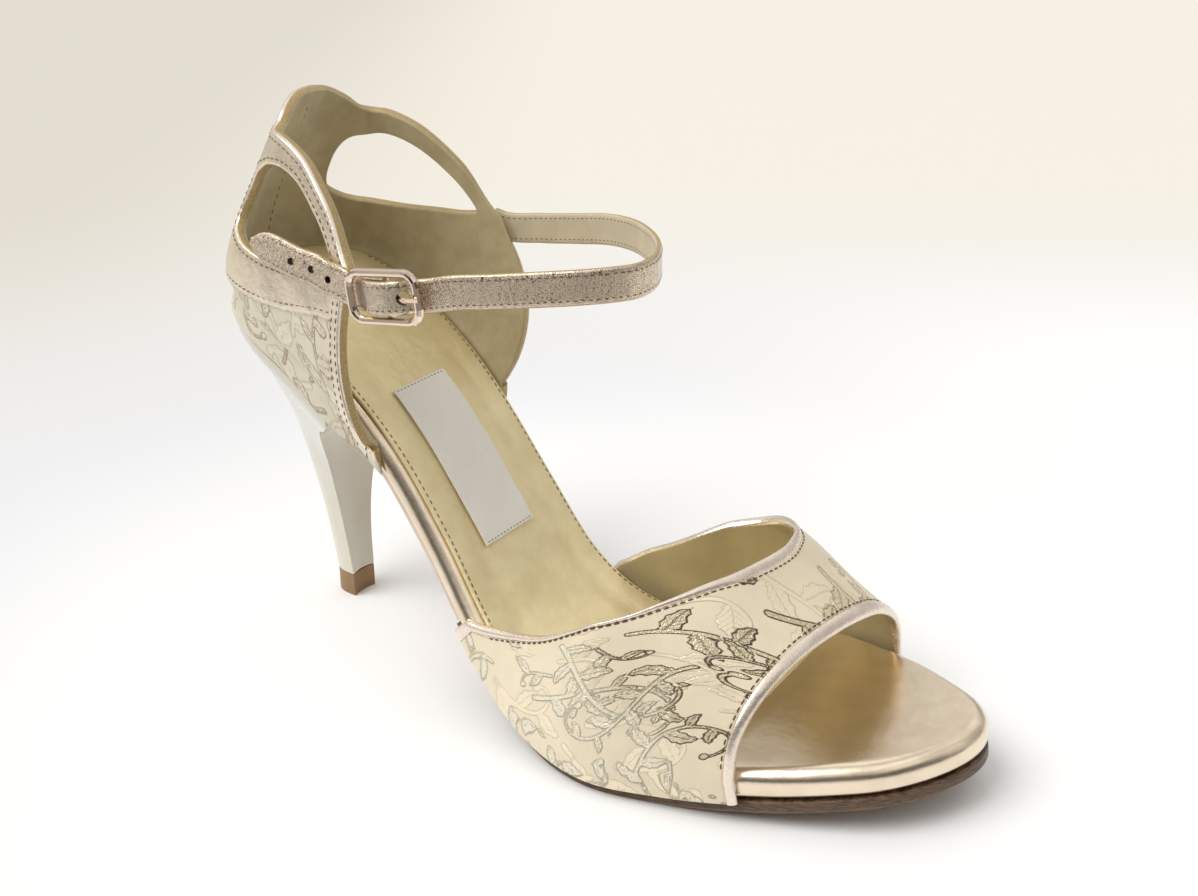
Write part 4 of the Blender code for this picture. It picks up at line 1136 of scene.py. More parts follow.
def make_quarter_look():
    outline = quarter_outline()
    holes = [cutout_loop(-1), cutout_loop(1)]
    holes = [hole if np.cross(hole[1] - hole[0], hole[2] - hole[1]) > 0 else hole[::-1] for hole in holes]
    rings = [outline] + holes
    x = np.arange(-QUARTER_ARC, QUARTER_ARC, 0.62)
    y = np.arange(outline[:, 1].min(), outline[:, 1].max(), 0.56)
    gx, gy = np.meshgrid(x, y)
    gx[::2] += 0.31
    field = np.stack([gx.ravel(), gy.ravel()], -1)
    field = field[(np.abs(field[:, 0]) < QUARTER_ARC - 0.1)]
    near = np.min([distance_to(field, ring) for ring in rings], axis=0)
    outside = inside_of(field, holes[0]) | inside_of(field, holes[1])
    field = field[~outside & (near > 0.95) & inside_of(field, outline)]
    points = [outline] + holes
    edges, at = [], 0
    for ring in rings:
        n = len(ring)
        edges += [(at + k, at + (k + 1) % n) for k in range(n)]
        at += n
    for by in (0.16, 0.42, 0.80):
        points.append(np.array([p for p in offset_curve(outline, by) if abs(p[0]) < QUARTER_ARC - 0.1]))
        points += [offset_curve(hole, -by) for hole in holes]
    points.append(field)
    flat = np.concatenate(points)
    result = delaunay_2d_cdt([Vector(p) for p in flat.tolist()], edges, [], 0, 1e-5)
    verts = np.array([tuple(v) for v in result[0]])
    tris = np.array([face for face in result[2] if len(face) == 3])
    middle = verts[tris].mean(axis=1)
    keep = inside_of(middle, outline) & ~(inside_of(middle, holes[0]) | inside_of(middle, holes[1]))
    tris = tris[keep]
    used = np.unique(tris)
    remap = np.full(len(verts), -1)
    remap[used] = np.arange(len(used))
    verts, tris = verts[used], remap[tris]
    to_edge = np.min([distance_to(verts, ring) for ring in rings], axis=0)
    to_hole = np.min([distance_to(verts, hole) for hole in holes], axis=0)
    around, up = place_of(verts)
    above = (up - quarter_seam(np.abs(around))) * QUARTER_HEIGHT * 1000
    front = (np.abs(around) - FRONT_BAND) * QUARTER_ARC
    banded = np.maximum(blend01(-0.15, 0.15, above), blend01(-0.15, 0.15, front) * (up > -0.3))
    rounding = 0.62
    thinned = 1 - 0.55 * blend01(0, -6, verts[:, 1]) * blend01(50, 62, np.abs(verts[:, 0]))
    wall = (QUARTER_WALL + BAND_STEP * banded) * 1000 * thinned
    fall = rounding - np.sqrt(np.maximum(rounding**2 - np.clip(rounding - to_edge, 0, rounding) ** 2, 0))
    top_roll = 0.30 * np.exp(-((to_edge - 0.75) / 0.55) ** 2) * (to_hole > 2) * banded * (up > 0)
    crown = 0.10 * banded * blend01(0.8, 2.2, to_edge)
    groove = 0.16 * np.exp(-(above / 0.22) ** 2) * (to_edge > 1)
    wrinkle = 0.10 * np.sin(verts[:, 0] * 0.31 + np.sin(verts[:, 1] * 0.23) * 1.4) * blend01(2, 8, to_edge)
    out = wall - fall + top_roll + crown - groove + wrinkle
    lip = 0.45
    inner = lip - np.sqrt(np.maximum(lip**2 - np.clip(lip - to_edge, 0, lip) ** 2, 0))
    inner = inner + 0.10 * np.sin(verts[:, 0] * 0.23 + verts[:, 1] * 0.17) * blend01(1, 6, to_edge)
    outer_points = quarter_point(around, up, out / 1000)
    inner_points = quarter_point(around, up, inner / 1000)
    count = len(verts)
    middle = verts[tris].mean(axis=1)
    tri_around, tri_up = place_of(middle)
    at_front = (np.abs(tri_around) > FRONT_BAND) & (tri_up > -0.3)
    is_band = (tri_up > quarter_seam(np.abs(tri_around))) | at_front
    tri_edge = to_edge[tris].mean(axis=1)
    tri_hole = to_hole[tris].mean(axis=1)
    rolled = is_band & (tri_edge < 1.35) & (tri_hole > 1.4) & (tri_up > 0)
    looks = np.where(rolled, 2, np.where(is_band, 1, 0))
    sides = np.sort(np.concatenate([tris[:, [0, 1]], tris[:, [1, 2]], tris[:, [2, 0]]]), axis=1)
    pairs, seen = np.unique(sides, axis=0, return_counts=True)
    rim = pairs[seen == 1]
    directed = {(int(tri[k]), int(tri[k - 2])) for tri in tris for k in range(3)}
    walls = []
    for a, b in rim:
        a, b = (int(a), int(b)) if (int(a), int(b)) in directed else (int(b), int(a))
        walls.append((b, a, a + count, b + count))
    faces = tris.tolist() + (tris[:, ::-1] + count).tolist() + walls
    looks = np.concatenate([looks, np.full(len(tris), 3), np.full(len(walls), 4)])
    counter_pattern = with_sprigs(COUNTER_SCROLLS, *COUNTER_SPRIGS)
    patterns = {}
    for layer, table in (("relief", counter_pattern), ("under", with_sprigs([], *COUNTER_UNDER))):
        pair = np.stack(relief(verts[:, 0], verts[:, 1], table), -1)
        patterns[layer] = np.concatenate([pair, np.full((count, 2), OFF_PATTERN)])
    place_uv = np.concatenate([verts, verts])
    edge_uv = np.concatenate([np.stack([to_edge, above], -1)] * 2)
    piece("quarter_leather", np.concatenate([outer_points, inner_points]), faces,
          [LOOK["embossed_counter"], LOOK["band"], LOOK["binding"], LOOK["suede"], LOOK["raw_edge"]], looks,
          {**patterns, "place": place_uv, "edge": edge_uv}, replaces=["quarter"])
    make_quarter_stitches(outline, holes)


def on_wall(flat, out_mm):
    """Points of the quarter's outer side over flattened millimetres, with the way out."""
    around, up = place_of(flat)
    low = quarter_point(around, up, np.full(len(flat), out_mm / 1000))
    high = quarter_point(around, up, np.full(len(flat), out_mm / 1000 + 0.002))
    return low, high - low


def keep_runs(flat, keep):
    """The stretches of a line where keep holds."""
    runs, run = [], []
    for point, kept in zip(flat, keep):
        if kept:
            run.append(point)
        elif len(run) > 3:
            runs.append(np.array(run))
            run = []
        else:
            run = []
    if len(run) > 3:
        runs.append(np.array(run))
    return runs


def make_quarter_stitches(outline, holes):
    face = (QUARTER_WALL + BAND_STEP) * 1000 + 0.10
    rows = []
    wide = np.linspace(-0.985, 0.985, 420)
    top = mm_of(wide, 0 * wide + 1)
    line = offset_curve(top, -2.1, closed=False)
    near_hole = np.min([distance_to(line, hole) for hole in holes], axis=0)
    rows += [on_wall(run, face) for run in keep_runs(line, near_hole > 1.0)]
    for hole in holes:
        line = offset_curve(hole, -1.5)
        line = np.concatenate([line, line[:1]])
        up = place_of(line)[1]
        clear = (distance_to(line, outline) > 3.0) & (up < 0.985)
        start = int(np.argmin(clear)) if not clear.all() else 0
        line, clear = np.roll(line[:-1], -start, axis=0), np.roll(clear[:-1], -start)
        rows += [on_wall(run, face) for run in keep_runs(line, clear)]
    seam = mm_of(wide, quarter_seam(np.abs(wide)))
    line = offset_curve(seam, 1.3, closed=False)
    rows += [on_wall(run, face) for run in keep_runs(line, np.abs(line[:, 0]) < FRONT_BAND * QUARTER_ARC)]
    for side in (-1, 1):
        for away in (1.9, 4.2):
            tall = np.linspace(-0.42, 0.93, 120)
            line = mm_of(0 * tall + side * (1 - away / QUARTER_ARC), tall)
            rows.append(on_wall(line, face))
    stitch_rows("quarter_stitches", rows, 0.0020, 0.0016, 0.00019, LOOK["olive_thread"])
    tall = np.linspace(0.12, 0.92, 60)
    aside = 0 * tall - 0.02
    low = quarter_point(aside, tall, 0 * tall - 0.00004)
    out = low - quarter_point(aside, tall, 0 * tall + 0.002)
    stitch_rows("lining_seam_stitches", [(low, out)], 0.0024, 0.0015, 0.00013, LOOK["lining_thread"])


# The foot bed and the soles


TOE_CHANGE = (0.146, 0.158)   # under the vamp: the sock ends here, and the rim's foil covers the toe


def layer_look(name, looks, high, low, inset, radius, replaces, start=-1.0, end=1.0, stations=150,
               across=26, crown=0.0, low_radius=None, ripple=0.0, floor=None, lip=None, toe_rise=0.0,
               trough=0.0):
    """A layer of the foot bed with round edges, finer than its solid."""
    def surface(level, away, round_by):
        turns = np.radians(np.linspace(0, 90, 8)) if round_by > 0 else np.array([0.0])
        rings = []
        for turn in turns:
            grow = (1 - np.cos(turn)) if round_by > 0 else 0
            x, outer, inner = ring(inset + round_by * grow, start, end, stations)
            if lip is not None:
                shift = lip(x)
                outer, inner = outer + shift, inner - shift
            lifted = level + toe_rise * blend01(*TOE_CHANGE, x) * (away < 0)
            if round_by > 0:
                lifted = lifted + away * round_by * (1 - np.sin(turn))
            rings.append((x, outer, inner, lifted))
        cells = [bed_point(x, outer, up) for x, outer, inner, up in rings]
        x, outer, inner, up = rings[-1]
        for share in np.linspace(0, 1, across)[1:-1]:
            puff = crown * (1 - (2 * share - 1) ** 4) * np.clip((inner - outer) / 0.03, 0, 1)
            wave = ripple * np.sin(x * 210 + 3 * share) * np.sin(x * 87 + 5 * share + 1)
            aside = np.exp(-((share - 0.20) / 0.07) ** 2) + np.exp(-((share - 0.84) / 0.06) ** 2)
            wave = wave - trough * aside * blend01(0.035, 0.060, x) * blend01(0.150, 0.125, x)
            cells.append(bed_point(x, outer + (inner - outer) * share, up - away * (puff + wave)))
        cells += [bed_point(x, inner, up) for x, outer, inner, up in reversed(rings)]
        made = np.stack(cells, 1)
        if floor is not None:
            made[..., 2] = np.maximum(made[..., 2], floor)
        return made
    top = surface(high, -1, radius)
    bottom = surface(low, 1, radius if low_radius is None else low_radius)
    rows, columns = top.shape[:2]
    if bottom.shape[1] != columns:
        raise ValueError(name)
    count = rows * columns
    faces = grid(rows, columns)
    face_lists = faces.tolist() + (faces[:, ::-1] + count).tolist()
    looks_of = [0] * len(faces) + [1 if len(looks) > 1 else 0] * len(faces)
    side_look = 2 if len(looks) > 2 else 0
    for j in (0, columns - 1):
        for i in range(rows - 1):
            a, b = i * columns + j, (i + 1) * columns + j
            face_lists.append([a, b, count + b, count + a])
            looks_of.append(side_look)
    for i, cut in ((0, start > inset), (rows - 1, end < FOOT_RUN - inset)):
        if cut:
            for j in range(columns - 1):
                a = i * columns + j
                face_lists.append([a, a + 1, count + a + 1, count + a])
                looks_of.append(side_look)
    points = np.concatenate([top.reshape(-1, 3), bottom.reshape(-1, 3)])
    return piece(name, points, face_lists, looks, looks_of, replaces=replaces, angle=42)


def make_bed_look():
    layer_look("insole_rim", [LOOK["rim"]], 0.0, -BOARD_THICK, 0.0, BOARD_EDGE + 0.0008, ["insole_board"],
               stations=260, across=40, low_radius=BOARD_EDGE - 0.0002, toe_rise=0.0012)
    layer_look("sock_leather", [LOOK["sock"]], GAP + SOCK_THICK - 0.00025, GAP - 0.0002, SOCK_INSET - 0.0004,
               0.0005, ["sock"], stations=260, across=60, crown=0.00030, ripple=0.00006,
               toe_rise=-0.0011, trough=0.00055)
    rows = []
    x = np.linspace(0.014, TOE_CHANGE[0], 420)
    for side in (-1, 1):
        y = edge(x, side) - side * (SOCK_INSET + 0.0007)
        line = bed_point(x, y, np.full(len(x), GAP + SOCK_THICK - 0.00018))
        rows.append((line, np.repeat([[0.3, 0, 0.95]], len(x), axis=0)))
    stitch_rows("sock_stitches", rows, 0.0019, 0.0015, 0.00016, LOOK["brown_thread"])
    top = -BOARD_THICK - GAP
    layer_look("shank_skin", [LOOK["shank"]], top + 0.0002, top - SHANK_THICK, SHANK_INSET, 0.0009,
               ["shank_cover"], end=OUTSOLE_START - GAP / 2, stations=90, across=10)
    start = OUTSOLE_START + GAP / 2

    def lip(x):
        share = np.clip((FOOT_RUN * 0.58 - x) / (FOOT_RUN * 0.58 - start), 0, 1)
        return (OUTSOLE_LIP + SHANK_INSET) * share

    layer_look("outsole_leather", [LOOK["sole_edge"], LOOK["tread"], LOOK["sole_edge"]], top,
               top - OUTSOLE_THICK - TREAD_FLAT, -OUTSOLE_LIP, 0.0006, ["outsole"],
               start=start, stations=170, across=14, floor=0.0, lip=lip)


def make_label_look():
    low = GAP + SOCK_THICK + GAP - 0.0001
    x = np.linspace(LABEL_START, LABEL_START + LABEL_RUN, 70)
    middle = (edge(x, 1) + edge(x, -1)) / 2 + LABEL_ASIDE
    across = np.linspace(-0.5, 0.5, 34)
    u, v = np.meshgrid(np.linspace(0, 1, 70), across, indexing="ij")
    puff = 0.00022 * np.sin(np.pi * u) * np.cos(np.pi * v) + 0.00006 * np.sin(u * 19 + v * 7)
    top = np.stack([bed_point(x, middle + LABEL_WIDTH * s, low + LABEL_THICK * 0.7 + puff[:, k])
                    for k, s in enumerate(across)], 1)
    bottom = np.stack([bed_point(x, middle + LABEL_WIDTH * s, low) for s in across], 1)
    rows, columns = top.shape[:2]
    count = rows * columns
    faces = grid(rows, columns)
    lists = faces.tolist() + (faces[:, ::-1] + count).tolist()
    border = [(i, 0) for i in range(rows)] + [(rows - 1, j) for j in range(1, columns)]
    border += [(i, columns - 1) for i in range(rows - 2, -1, -1)]
    border += [(0, j) for j in range(columns - 2, 0, -1)]
    for (i, j), (k, m) in zip(border, border[1:] + border[:1]):
        a, b = i * columns + j, k * columns + m
        lists.append([a, b, b + count, a + count])
    place = np.stack([u * 42, v * LABEL_WIDTH * 1000], -1).reshape(-1, 2)
    piece("woven_label", np.concatenate([top.reshape(-1, 3), bottom.reshape(-1, 3)]), lists, [LOOK["label"]],
          layers={"place": np.concatenate([place, place])}, replaces=["label"], angle=50)
    rows = []
    for k in (1, -2):
        ends = top[k, 1:-1]
        rows.append((ends, np.repeat([[0.5, 0, 0.85]], len(ends), axis=0)))
    stitch_rows("label_stitches", rows, 0.0013, 0.0010, 0.00013, LOOK["brown_thread"])


def make_heel_look():
    turn = np.linspace(-np.pi / 2, np.pi / 2, 64)
    back = np.abs(np.cos(turn)) ** (2 / HEEL_FULLNESS)
    out = np.sign(turn) * np.abs(np.sin(turn)) ** (2 / HEEL_FULLNESS)
    lines = {side: side_line(side, -HEEL_LIP) for side in (-1, 1)}
    x = BREAST_AT - (BREAST_AT + HEEL_LIP) * back
    outer, inner = [np.interp(x, *lines[side]) for side in (-1, 1)]
    seat = bed_point(x, np.where(out < 0, outer, inner), -(SHANK_STACK + GAP))
    tip_x = TIP_SET_IN + TIP_LENGTH * (1 - back)
    tip = np.stack([tip_x, out * TIP_WIDTH / 2, np.full(len(x), LIFT_HEIGHT + GAP)], -1)
    seat_back, seat_front = seat[:, 0].min(), seat[0, 0]
    seat_half = (seat[-1, 1] - seat[0, 1]) / 2
    sections = []
    for down in np.concatenate([np.linspace(0, 0.3, 34), np.linspace(0.32, 1, 50)]):
        rear = seat_back + (TIP_SET_IN - seat_back) * heel_back(down)
        front = seat_front + (TIP_SET_IN + TIP_LENGTH - seat_front) * heel_breast(down)
        half = seat_half + (TIP_WIDTH / 2 - seat_half) * heel_width(down)
        shape = np.stack([front - (front - rear) * back, out * half, out * 0], -1)
        section = seat + (shape - seat) * blend01(0, 0.15, down)
        section[:, 2] = seat[:, 2] + (tip[:, 2] - seat[:, 2]) * down
        share = np.linspace(0, 1, 22)[1:-1, None]
        across = section[-1] + (section[0] - section[-1]) * share
        across[:, 0] -= BREAST_HOLLOW * 1.5 * np.sin(np.pi * share[:, 0])
        sections.append(np.concatenate([section, across]))
    columns = len(sections[0])
    faces = grid(len(sections), columns, wrap=True).tolist()
    faces += [list(range(columns)), [(len(sections) - 1) * columns + j for j in range(columns)]]
    piece("heel_cover", np.concatenate(sections), faces, [LOOK["ivory"]], replaces=["heel"],
          angle=38)


# The strap


def make_strap_look():
    forward, upward, outward = buckle_frame_axes()
    tail, _, upright = tail_point(np.linspace(0, 1, 7))
    root, _, root_upright = on_quarter(*np.array(STRAP_ROOT).T)
    through = at_buckle(STRAP_THROUGH)
    pieces = [(root, root_upright), (STRAP_LOOP, [0, 0, 1]), (through, upward), (tail, upright)]
    controls = [np.hstack([points, np.broadcast_to(way, np.shape(points))]) for points, way in pieces]
    line = resample(np.concatenate(controls), 560)
    line, upright = line[:, :3], line[:, 3:]
    ahead = unit(np.gradient(line, axis=0))
    upright = unit(upright - ahead * np.sum(upright * ahead, axis=1, keepdims=True))
    away = np.cross(upright, ahead)
    travelled = np.concatenate([[0], np.cumsum(np.linalg.norm(np.diff(line, axis=0), axis=1))])
    left = travelled[-1] - travelled
    half_thick = STRAP_THICK / 2
    share = np.linspace(-1, 1, 21)
    stitch_dent = 0.10 * np.exp(-((np.abs(share) - 0.76) / 0.05) ** 2)
    outer = np.stack([share, 1 - 0.55 * np.abs(share) ** 10 - stitch_dent], -1)
    inner = np.stack([share[::-1], -1 + 0.45 * np.abs(share[::-1]) ** 12], -1)
    profile = np.concatenate([outer, inner])
    sections, halves = [], []
    for k in range(len(line)):
        half = STRAP_WIDTH / 2
        if left[k] < TAIL_TAPER:
            half = max(half * (1 - (1 - left[k] / TAIL_TAPER) ** 2.4) ** 0.6, STRAP_WIDTH * 0.14)
        halves.append(half)
        sections.append(line[k] + profile[:, :1] * half * upright[k] + profile[:, 1:] * half_thick * away[k])
    columns = len(profile)
    faces = grid(len(line), columns, wrap=True)
    column = faces[:, 0] % columns
    looks = np.where(column < 20, 0, np.where((column == 20) | (column == columns - 1), 2, 1))
    lists = faces.tolist() + [list(range(columns)), [(len(line) - 1) * columns + j for j in range(columns)]]
    looks = np.concatenate([looks, [2, 2]])
    across = np.tile(profile[:, 0] * STRAP_WIDTH * 500, len(line))
    place = np.stack([np.repeat(travelled * 1000, columns), across], -1)
    strap = piece("ankle_strap_leather", np.concatenate(sections), lists,
                  [LOOK["strap"], LOOK["strap_lining"], LOOK["raw_edge"]], looks, {"place": place},
                  replaces=["ankle_strap"], angle=60)
    centres = [(at_buckle([(PRONG_THROUGH, -0.0004)])[0], outward + forward * 0.36, PRONG_HOLE)]
    for share_at in SPARE_HOLES:
        middle, out, _ = tail_point(share_at)
        centres.append((middle, out, PUNCH))
    for k, (centre, way, radius) in enumerate(centres):
        cut_hole(strap, f"punch_{k}", centre + SHIFT, way, radius)
    bake(strap)
    rows = []
    for side in (-1, 1):
        keep = (left > 0.0035) & (travelled > 0.0015)
        edge_line = line + side * (np.array(halves)[:, None] - STRAP_STITCH_IN) * upright
        for face in (1, -1):
            rows.append(((edge_line + face * away * half_thick * 0.93)[keep], face * away[keep]))
    stitch_rows("strap_stitches", rows, 0.00165, 0.00125, 0.00016, LOOK["brown_thread"])


def cut_hole(target, name, centre, way, radius):
    mesh = bpy.data.meshes.new(name)
    work = bmesh.new()
    bmesh.ops.create_cone(work, cap_ends=True, segments=28, radius1=radius, radius2=radius * 0.8, depth=0.006)
    work.to_mesh(mesh)
    work.free()
    plug = bpy.data.objects.new(name, mesh)
    plug.location = Vector(centre)
    plug.rotation_mode = "QUATERNION"
    plug.rotation_quaternion = Vector(way).to_track_quat("Z", "Y")
    plug.scale = (1.35, 1.0, 1) if radius < 0.0012 else (1, 1, 1)
    # the cutter's near-black look goes onto the hole walls: painted shade inside the punched holes
    mesh.materials.append(LOOK["hole"])
    bpy.context.scene.collection.objects.link(plug)
    cut = target.modifiers.new(name, "BOOLEAN")
    cut.operation = "DIFFERENCE"
    cut.solver = "EXACT"
    cut.material_mode = "TRANSFER"
    cut.object = plug


def bake(target):
    """Applies the piece's modifiers and removes the cutters."""
    bpy.context.view_layer.update()
    graph = bpy.context.evaluated_depsgraph_get()
    baked = bpy.data.meshes.new_from_object(target.evaluated_get(graph))
    cutters = [modifier.object for modifier in target.modifiers if modifier.type == "BOOLEAN"]
    target.modifiers.clear()
    target.data = baked
    for cutter in cutters:
        bpy.data.objects.remove(cutter)


def make_metal_looks():
    for node, look in (("buckle_frame", "buckle"), ("buckle_prong", "buckle"), ("buckle_anchor", "strap"),
                       ("top_lift", "lift")):
        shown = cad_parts[node]
        shown.data.materials.clear()
        shown.data.materials.append(LOOK[look])

# Looks: render colours of each surface


def woven(name, colour):
    """White satin label: a fine diagonal weave."""
    material, g, shader = new_material(name)
    u, v = g.uv("place")
    twill = g.math("SINE", g.times(g.plus(u, g.times(v, 0.6)), 11.0))
    threads = g.math("SINE", g.times(v, 26.0))
    weave = g.plus(g.times(twill, 0.6), g.times(threads, 0.4))
    soft = g.noise(g.place(), 0.3, 3, 0.5)
    tone = g.mix(g.ramp(weave, -1, 1), tuple(value * 0.90 for value in colour), colour)
    faded = tuple(value * 0.95 for value in colour)
    g.wire(g.mix(g.ramp(soft, 0.3, 0.8), tone, faded), shader["Base Color"])
    g.wire(0.62, shader["Roughness"])
    g.wire(0.25, shader["Sheen Weight"])
    g.wire(g.bump(weave, 0.00005), shader["Normal"])
    return material


def suede(name, colour, second):
    """Napped lining: short fibres in soft clouds."""
    material, g, shader = new_material(name)
    where = g.place()
    fibres = g.noise(where, 5.5, 4, 0.7)
    clouds = g.noise(where, 0.16, 4, 0.6)
    tone = g.mix(g.ramp(clouds, 0.32, 0.68), colour, second)
    deep = tuple(value * 0.72 for value in colour)
    tone = g.mix(g.times(g.ramp(fibres, 0.4, 0.7), 0.35), tone, deep)
    g.wire(tone, shader["Base Color"])
    g.wire(0.86, shader["Roughness"])
    g.wire(0.35, shader["Sheen Weight"])
    g.wire(0.6, shader["Sheen Roughness"])
    g.wire(g.bump(fibres, 0.00009), shader["Normal"])
    return material


def metallic_leather(name, colour, second, roughness, grain, metallic=0.9, fine=2.6, waves=0.00022):
    """Foil-finished leather: fine broken grain over soft waves, in two colours mottled together."""
    material, g, shader = new_material(name)
    height, mottle = with_grain(g, fine / 1.9)
    where = g.place()
    scratch = g.noise(g.place(1.0, (1, 3, 1)), 1.1, 5, 0.7, 0.8)
    g.wire(g.mix(g.ramp(mottle, 0.3, 0.7), colour, second), shader["Base Color"])
    g.wire(metallic, shader["Metallic"])
    g.wire(g.plus(g.times(scratch, 0.22), roughness - 0.11), shader["Roughness"])
    soft = g.bump(g.noise(where, 0.28, 3, 0.5), waves)
    g.wire(g.bump(height, grain / 1000, before=soft), shader["Normal"])
    return material


def raw_edge(name, colour, dark):
    """Cut leather edge, painted gold and worn: fibrous, with flecks."""
    material, g, shader = new_material(name)
    where = g.place()
    fibre = g.noise(where, 3.2, 5, 0.75)
    g.wire(g.mix(g.ramp(fibre, 0.38, 0.62), dark, colour), shader["Base Color"])
    g.wire(g.times(g.ramp(fibre, 0.4, 0.6), 0.7), shader["Metallic"])
    g.wire(0.48, shader["Roughness"])
    g.wire(g.bump(fibre, 0.00018), shader["Normal"])
    return material


def glossy(name, colour, second, roughness, coat, metallic=0.0, haze=0.05, waves=0.00002):
    material, g, shader = new_material(name)
    where = g.place()
    cloud = g.noise(where, 0.06, 3, 0.5)
    g.wire(g.mix(g.ramp(cloud, 0.3, 0.7), colour, second), shader["Base Color"])
    g.wire(metallic, shader["Metallic"])
    g.wire(g.plus(g.times(g.noise(where, 0.9, 4, 0.6), haze * 2), roughness - haze),
           shader["Roughness"])
    g.wire(coat, shader["Coat Weight"])
    g.wire(0.08, shader["Coat Roughness"])
    g.wire(g.bump(g.noise(where, 0.25, 2, 0.4), waves), shader["Normal"])
    return material


def layered_edge(name, colour, dark):
    """Burnished sole edge: dark, with thin lines along it."""
    material, g, shader = new_material(name)
    lines = g.noise(g.place(1.0, (0.25, 0.25, 3.0)), 1.6, 4, 0.6)
    g.wire(g.mix(g.ramp(lines, 0.35, 0.65), dark, colour), shader["Base Color"])
    g.wire(g.plus(g.times(lines, 0.3), 0.28), shader["Roughness"])
    g.wire(g.bump(lines, 0.00012), shader["Normal"])
    return material


def thread(name, colour):
    material, g, shader = new_material(name)
    twist = g.noise(g.place(), 6.0, 2, 0.5)
    g.wire(g.mix(twist, colour, tuple(value * 0.6 for value in colour)), shader["Base Color"])
    g.wire(0.6, shader["Roughness"])
    return material


LOOK = {
    "embossed_vamp": embossed("embossed_vamp", (0.80, 0.70, 0.52),
                              ((0.84, 0.78, 0.65), (0.62, 0.52, 0.35), (0.80, 0.69, 0.48)),
                              ((0.58, 0.50, 0.36), (0.10, 0.065, 0.04), (0.42, 0.32, 0.18)), (-50, 2)),
    "embossed_counter": embossed("embossed_counter", (0.74, 0.68, 0.54),
                                 ((0.80, 0.71, 0.56), (0.80, 0.73, 0.60), (0.80, 0.71, 0.56)),
                                 ((0.50, 0.41, 0.29), (0.56, 0.47, 0.35), (0.50, 0.41, 0.29)), (-30, 30)),
    "binding": metallic_leather("binding", (0.90, 0.80, 0.70), (0.83, 0.72, 0.62), 0.27, 0.02, 0.85),
    "band": metallic_leather("band", (0.92, 0.81, 0.65), (0.85, 0.73, 0.57), 0.24, 0.03, 0.9),
    "lining": leather("lining", (0.46, 0.40, 0.24), (0.54, 0.47, 0.29), 0.40, 0.25, 0.03, 0.1),
    "suede": suede("suede", (0.46, 0.38, 0.20), (0.56, 0.47, 0.27)),
    "raw_edge": raw_edge("raw_edge", (0.66, 0.50, 0.24), (0.34, 0.24, 0.11)),
    "rim": metallic_leather("rim", (0.86, 0.74, 0.58), (0.80, 0.67, 0.51), 0.20, 0.012, 0.95, waves=0.00007),
    "sock": metallic_leather("sock", (0.88, 0.76, 0.47), (0.82, 0.69, 0.40), 0.40, 0.035, 0.55),
    "shank": leather("shank", (0.72, 0.58, 0.49), (0.66, 0.52, 0.42), 0.30, 0.45, 0.03, 0.2),
    "sole_edge": layered_edge("sole_edge", (0.17, 0.10, 0.055), (0.05, 0.028, 0.016)),
    "tread": leather("tread", (0.25, 0.16, 0.09), (0.18, 0.11, 0.06), 0.8, 0.0, 0.09, 0.0, 1.4),
    "ivory": glossy("ivory", (0.70, 0.67, 0.56), (0.66, 0.63, 0.51), 0.24, 0.6, 0.0, 0.01),
    "lift": glossy("lift", (0.36, 0.22, 0.10), (0.27, 0.16, 0.07), 0.5, 0.0),
    "buckle": glossy("buckle", (0.88, 0.73, 0.60), (0.82, 0.67, 0.54), 0.10, 0.0, 1.0, 0.03),
    "strap": crackle("strap", (0.92, 0.79, 0.62), (0.22, 0.15, 0.10), 0.14, 0.035, 2.2),
    "strap_lining": leather("strap_lining", (0.56, 0.48, 0.33), (0.62, 0.54, 0.38), 0.6, 0.0, 0.04, 0.0, 1.3,
                            0.2),
    "label": woven("label", (0.93, 0.90, 0.83)),
    # hole: near-black, a painted shade for the walls of the strap's punched holes
    "hole": thread("hole", (0.03, 0.02, 0.013)),
    "brown_thread": thread("brown_thread", (0.13, 0.075, 0.04)),
    "olive_thread": thread("olive_thread", (0.24, 0.18, 0.08)),
    "lining_thread": thread("lining_thread", (0.33, 0.26, 0.13)),
}

# The shoe

make_bed_look()
make_label_look()
make_heel_look()
make_vamp_look()
make_quarter_look()
make_strap_look()
make_metal_looks()


# The studio: white paper under a broad high sun from the upper left, in a room with a dark side behind the
# camera

FACING = np.array([-0.547, 0.837, 0.0])    # the camera looks this way, over the floor
LEFT = np.array([-0.837, -0.547, 0.0])


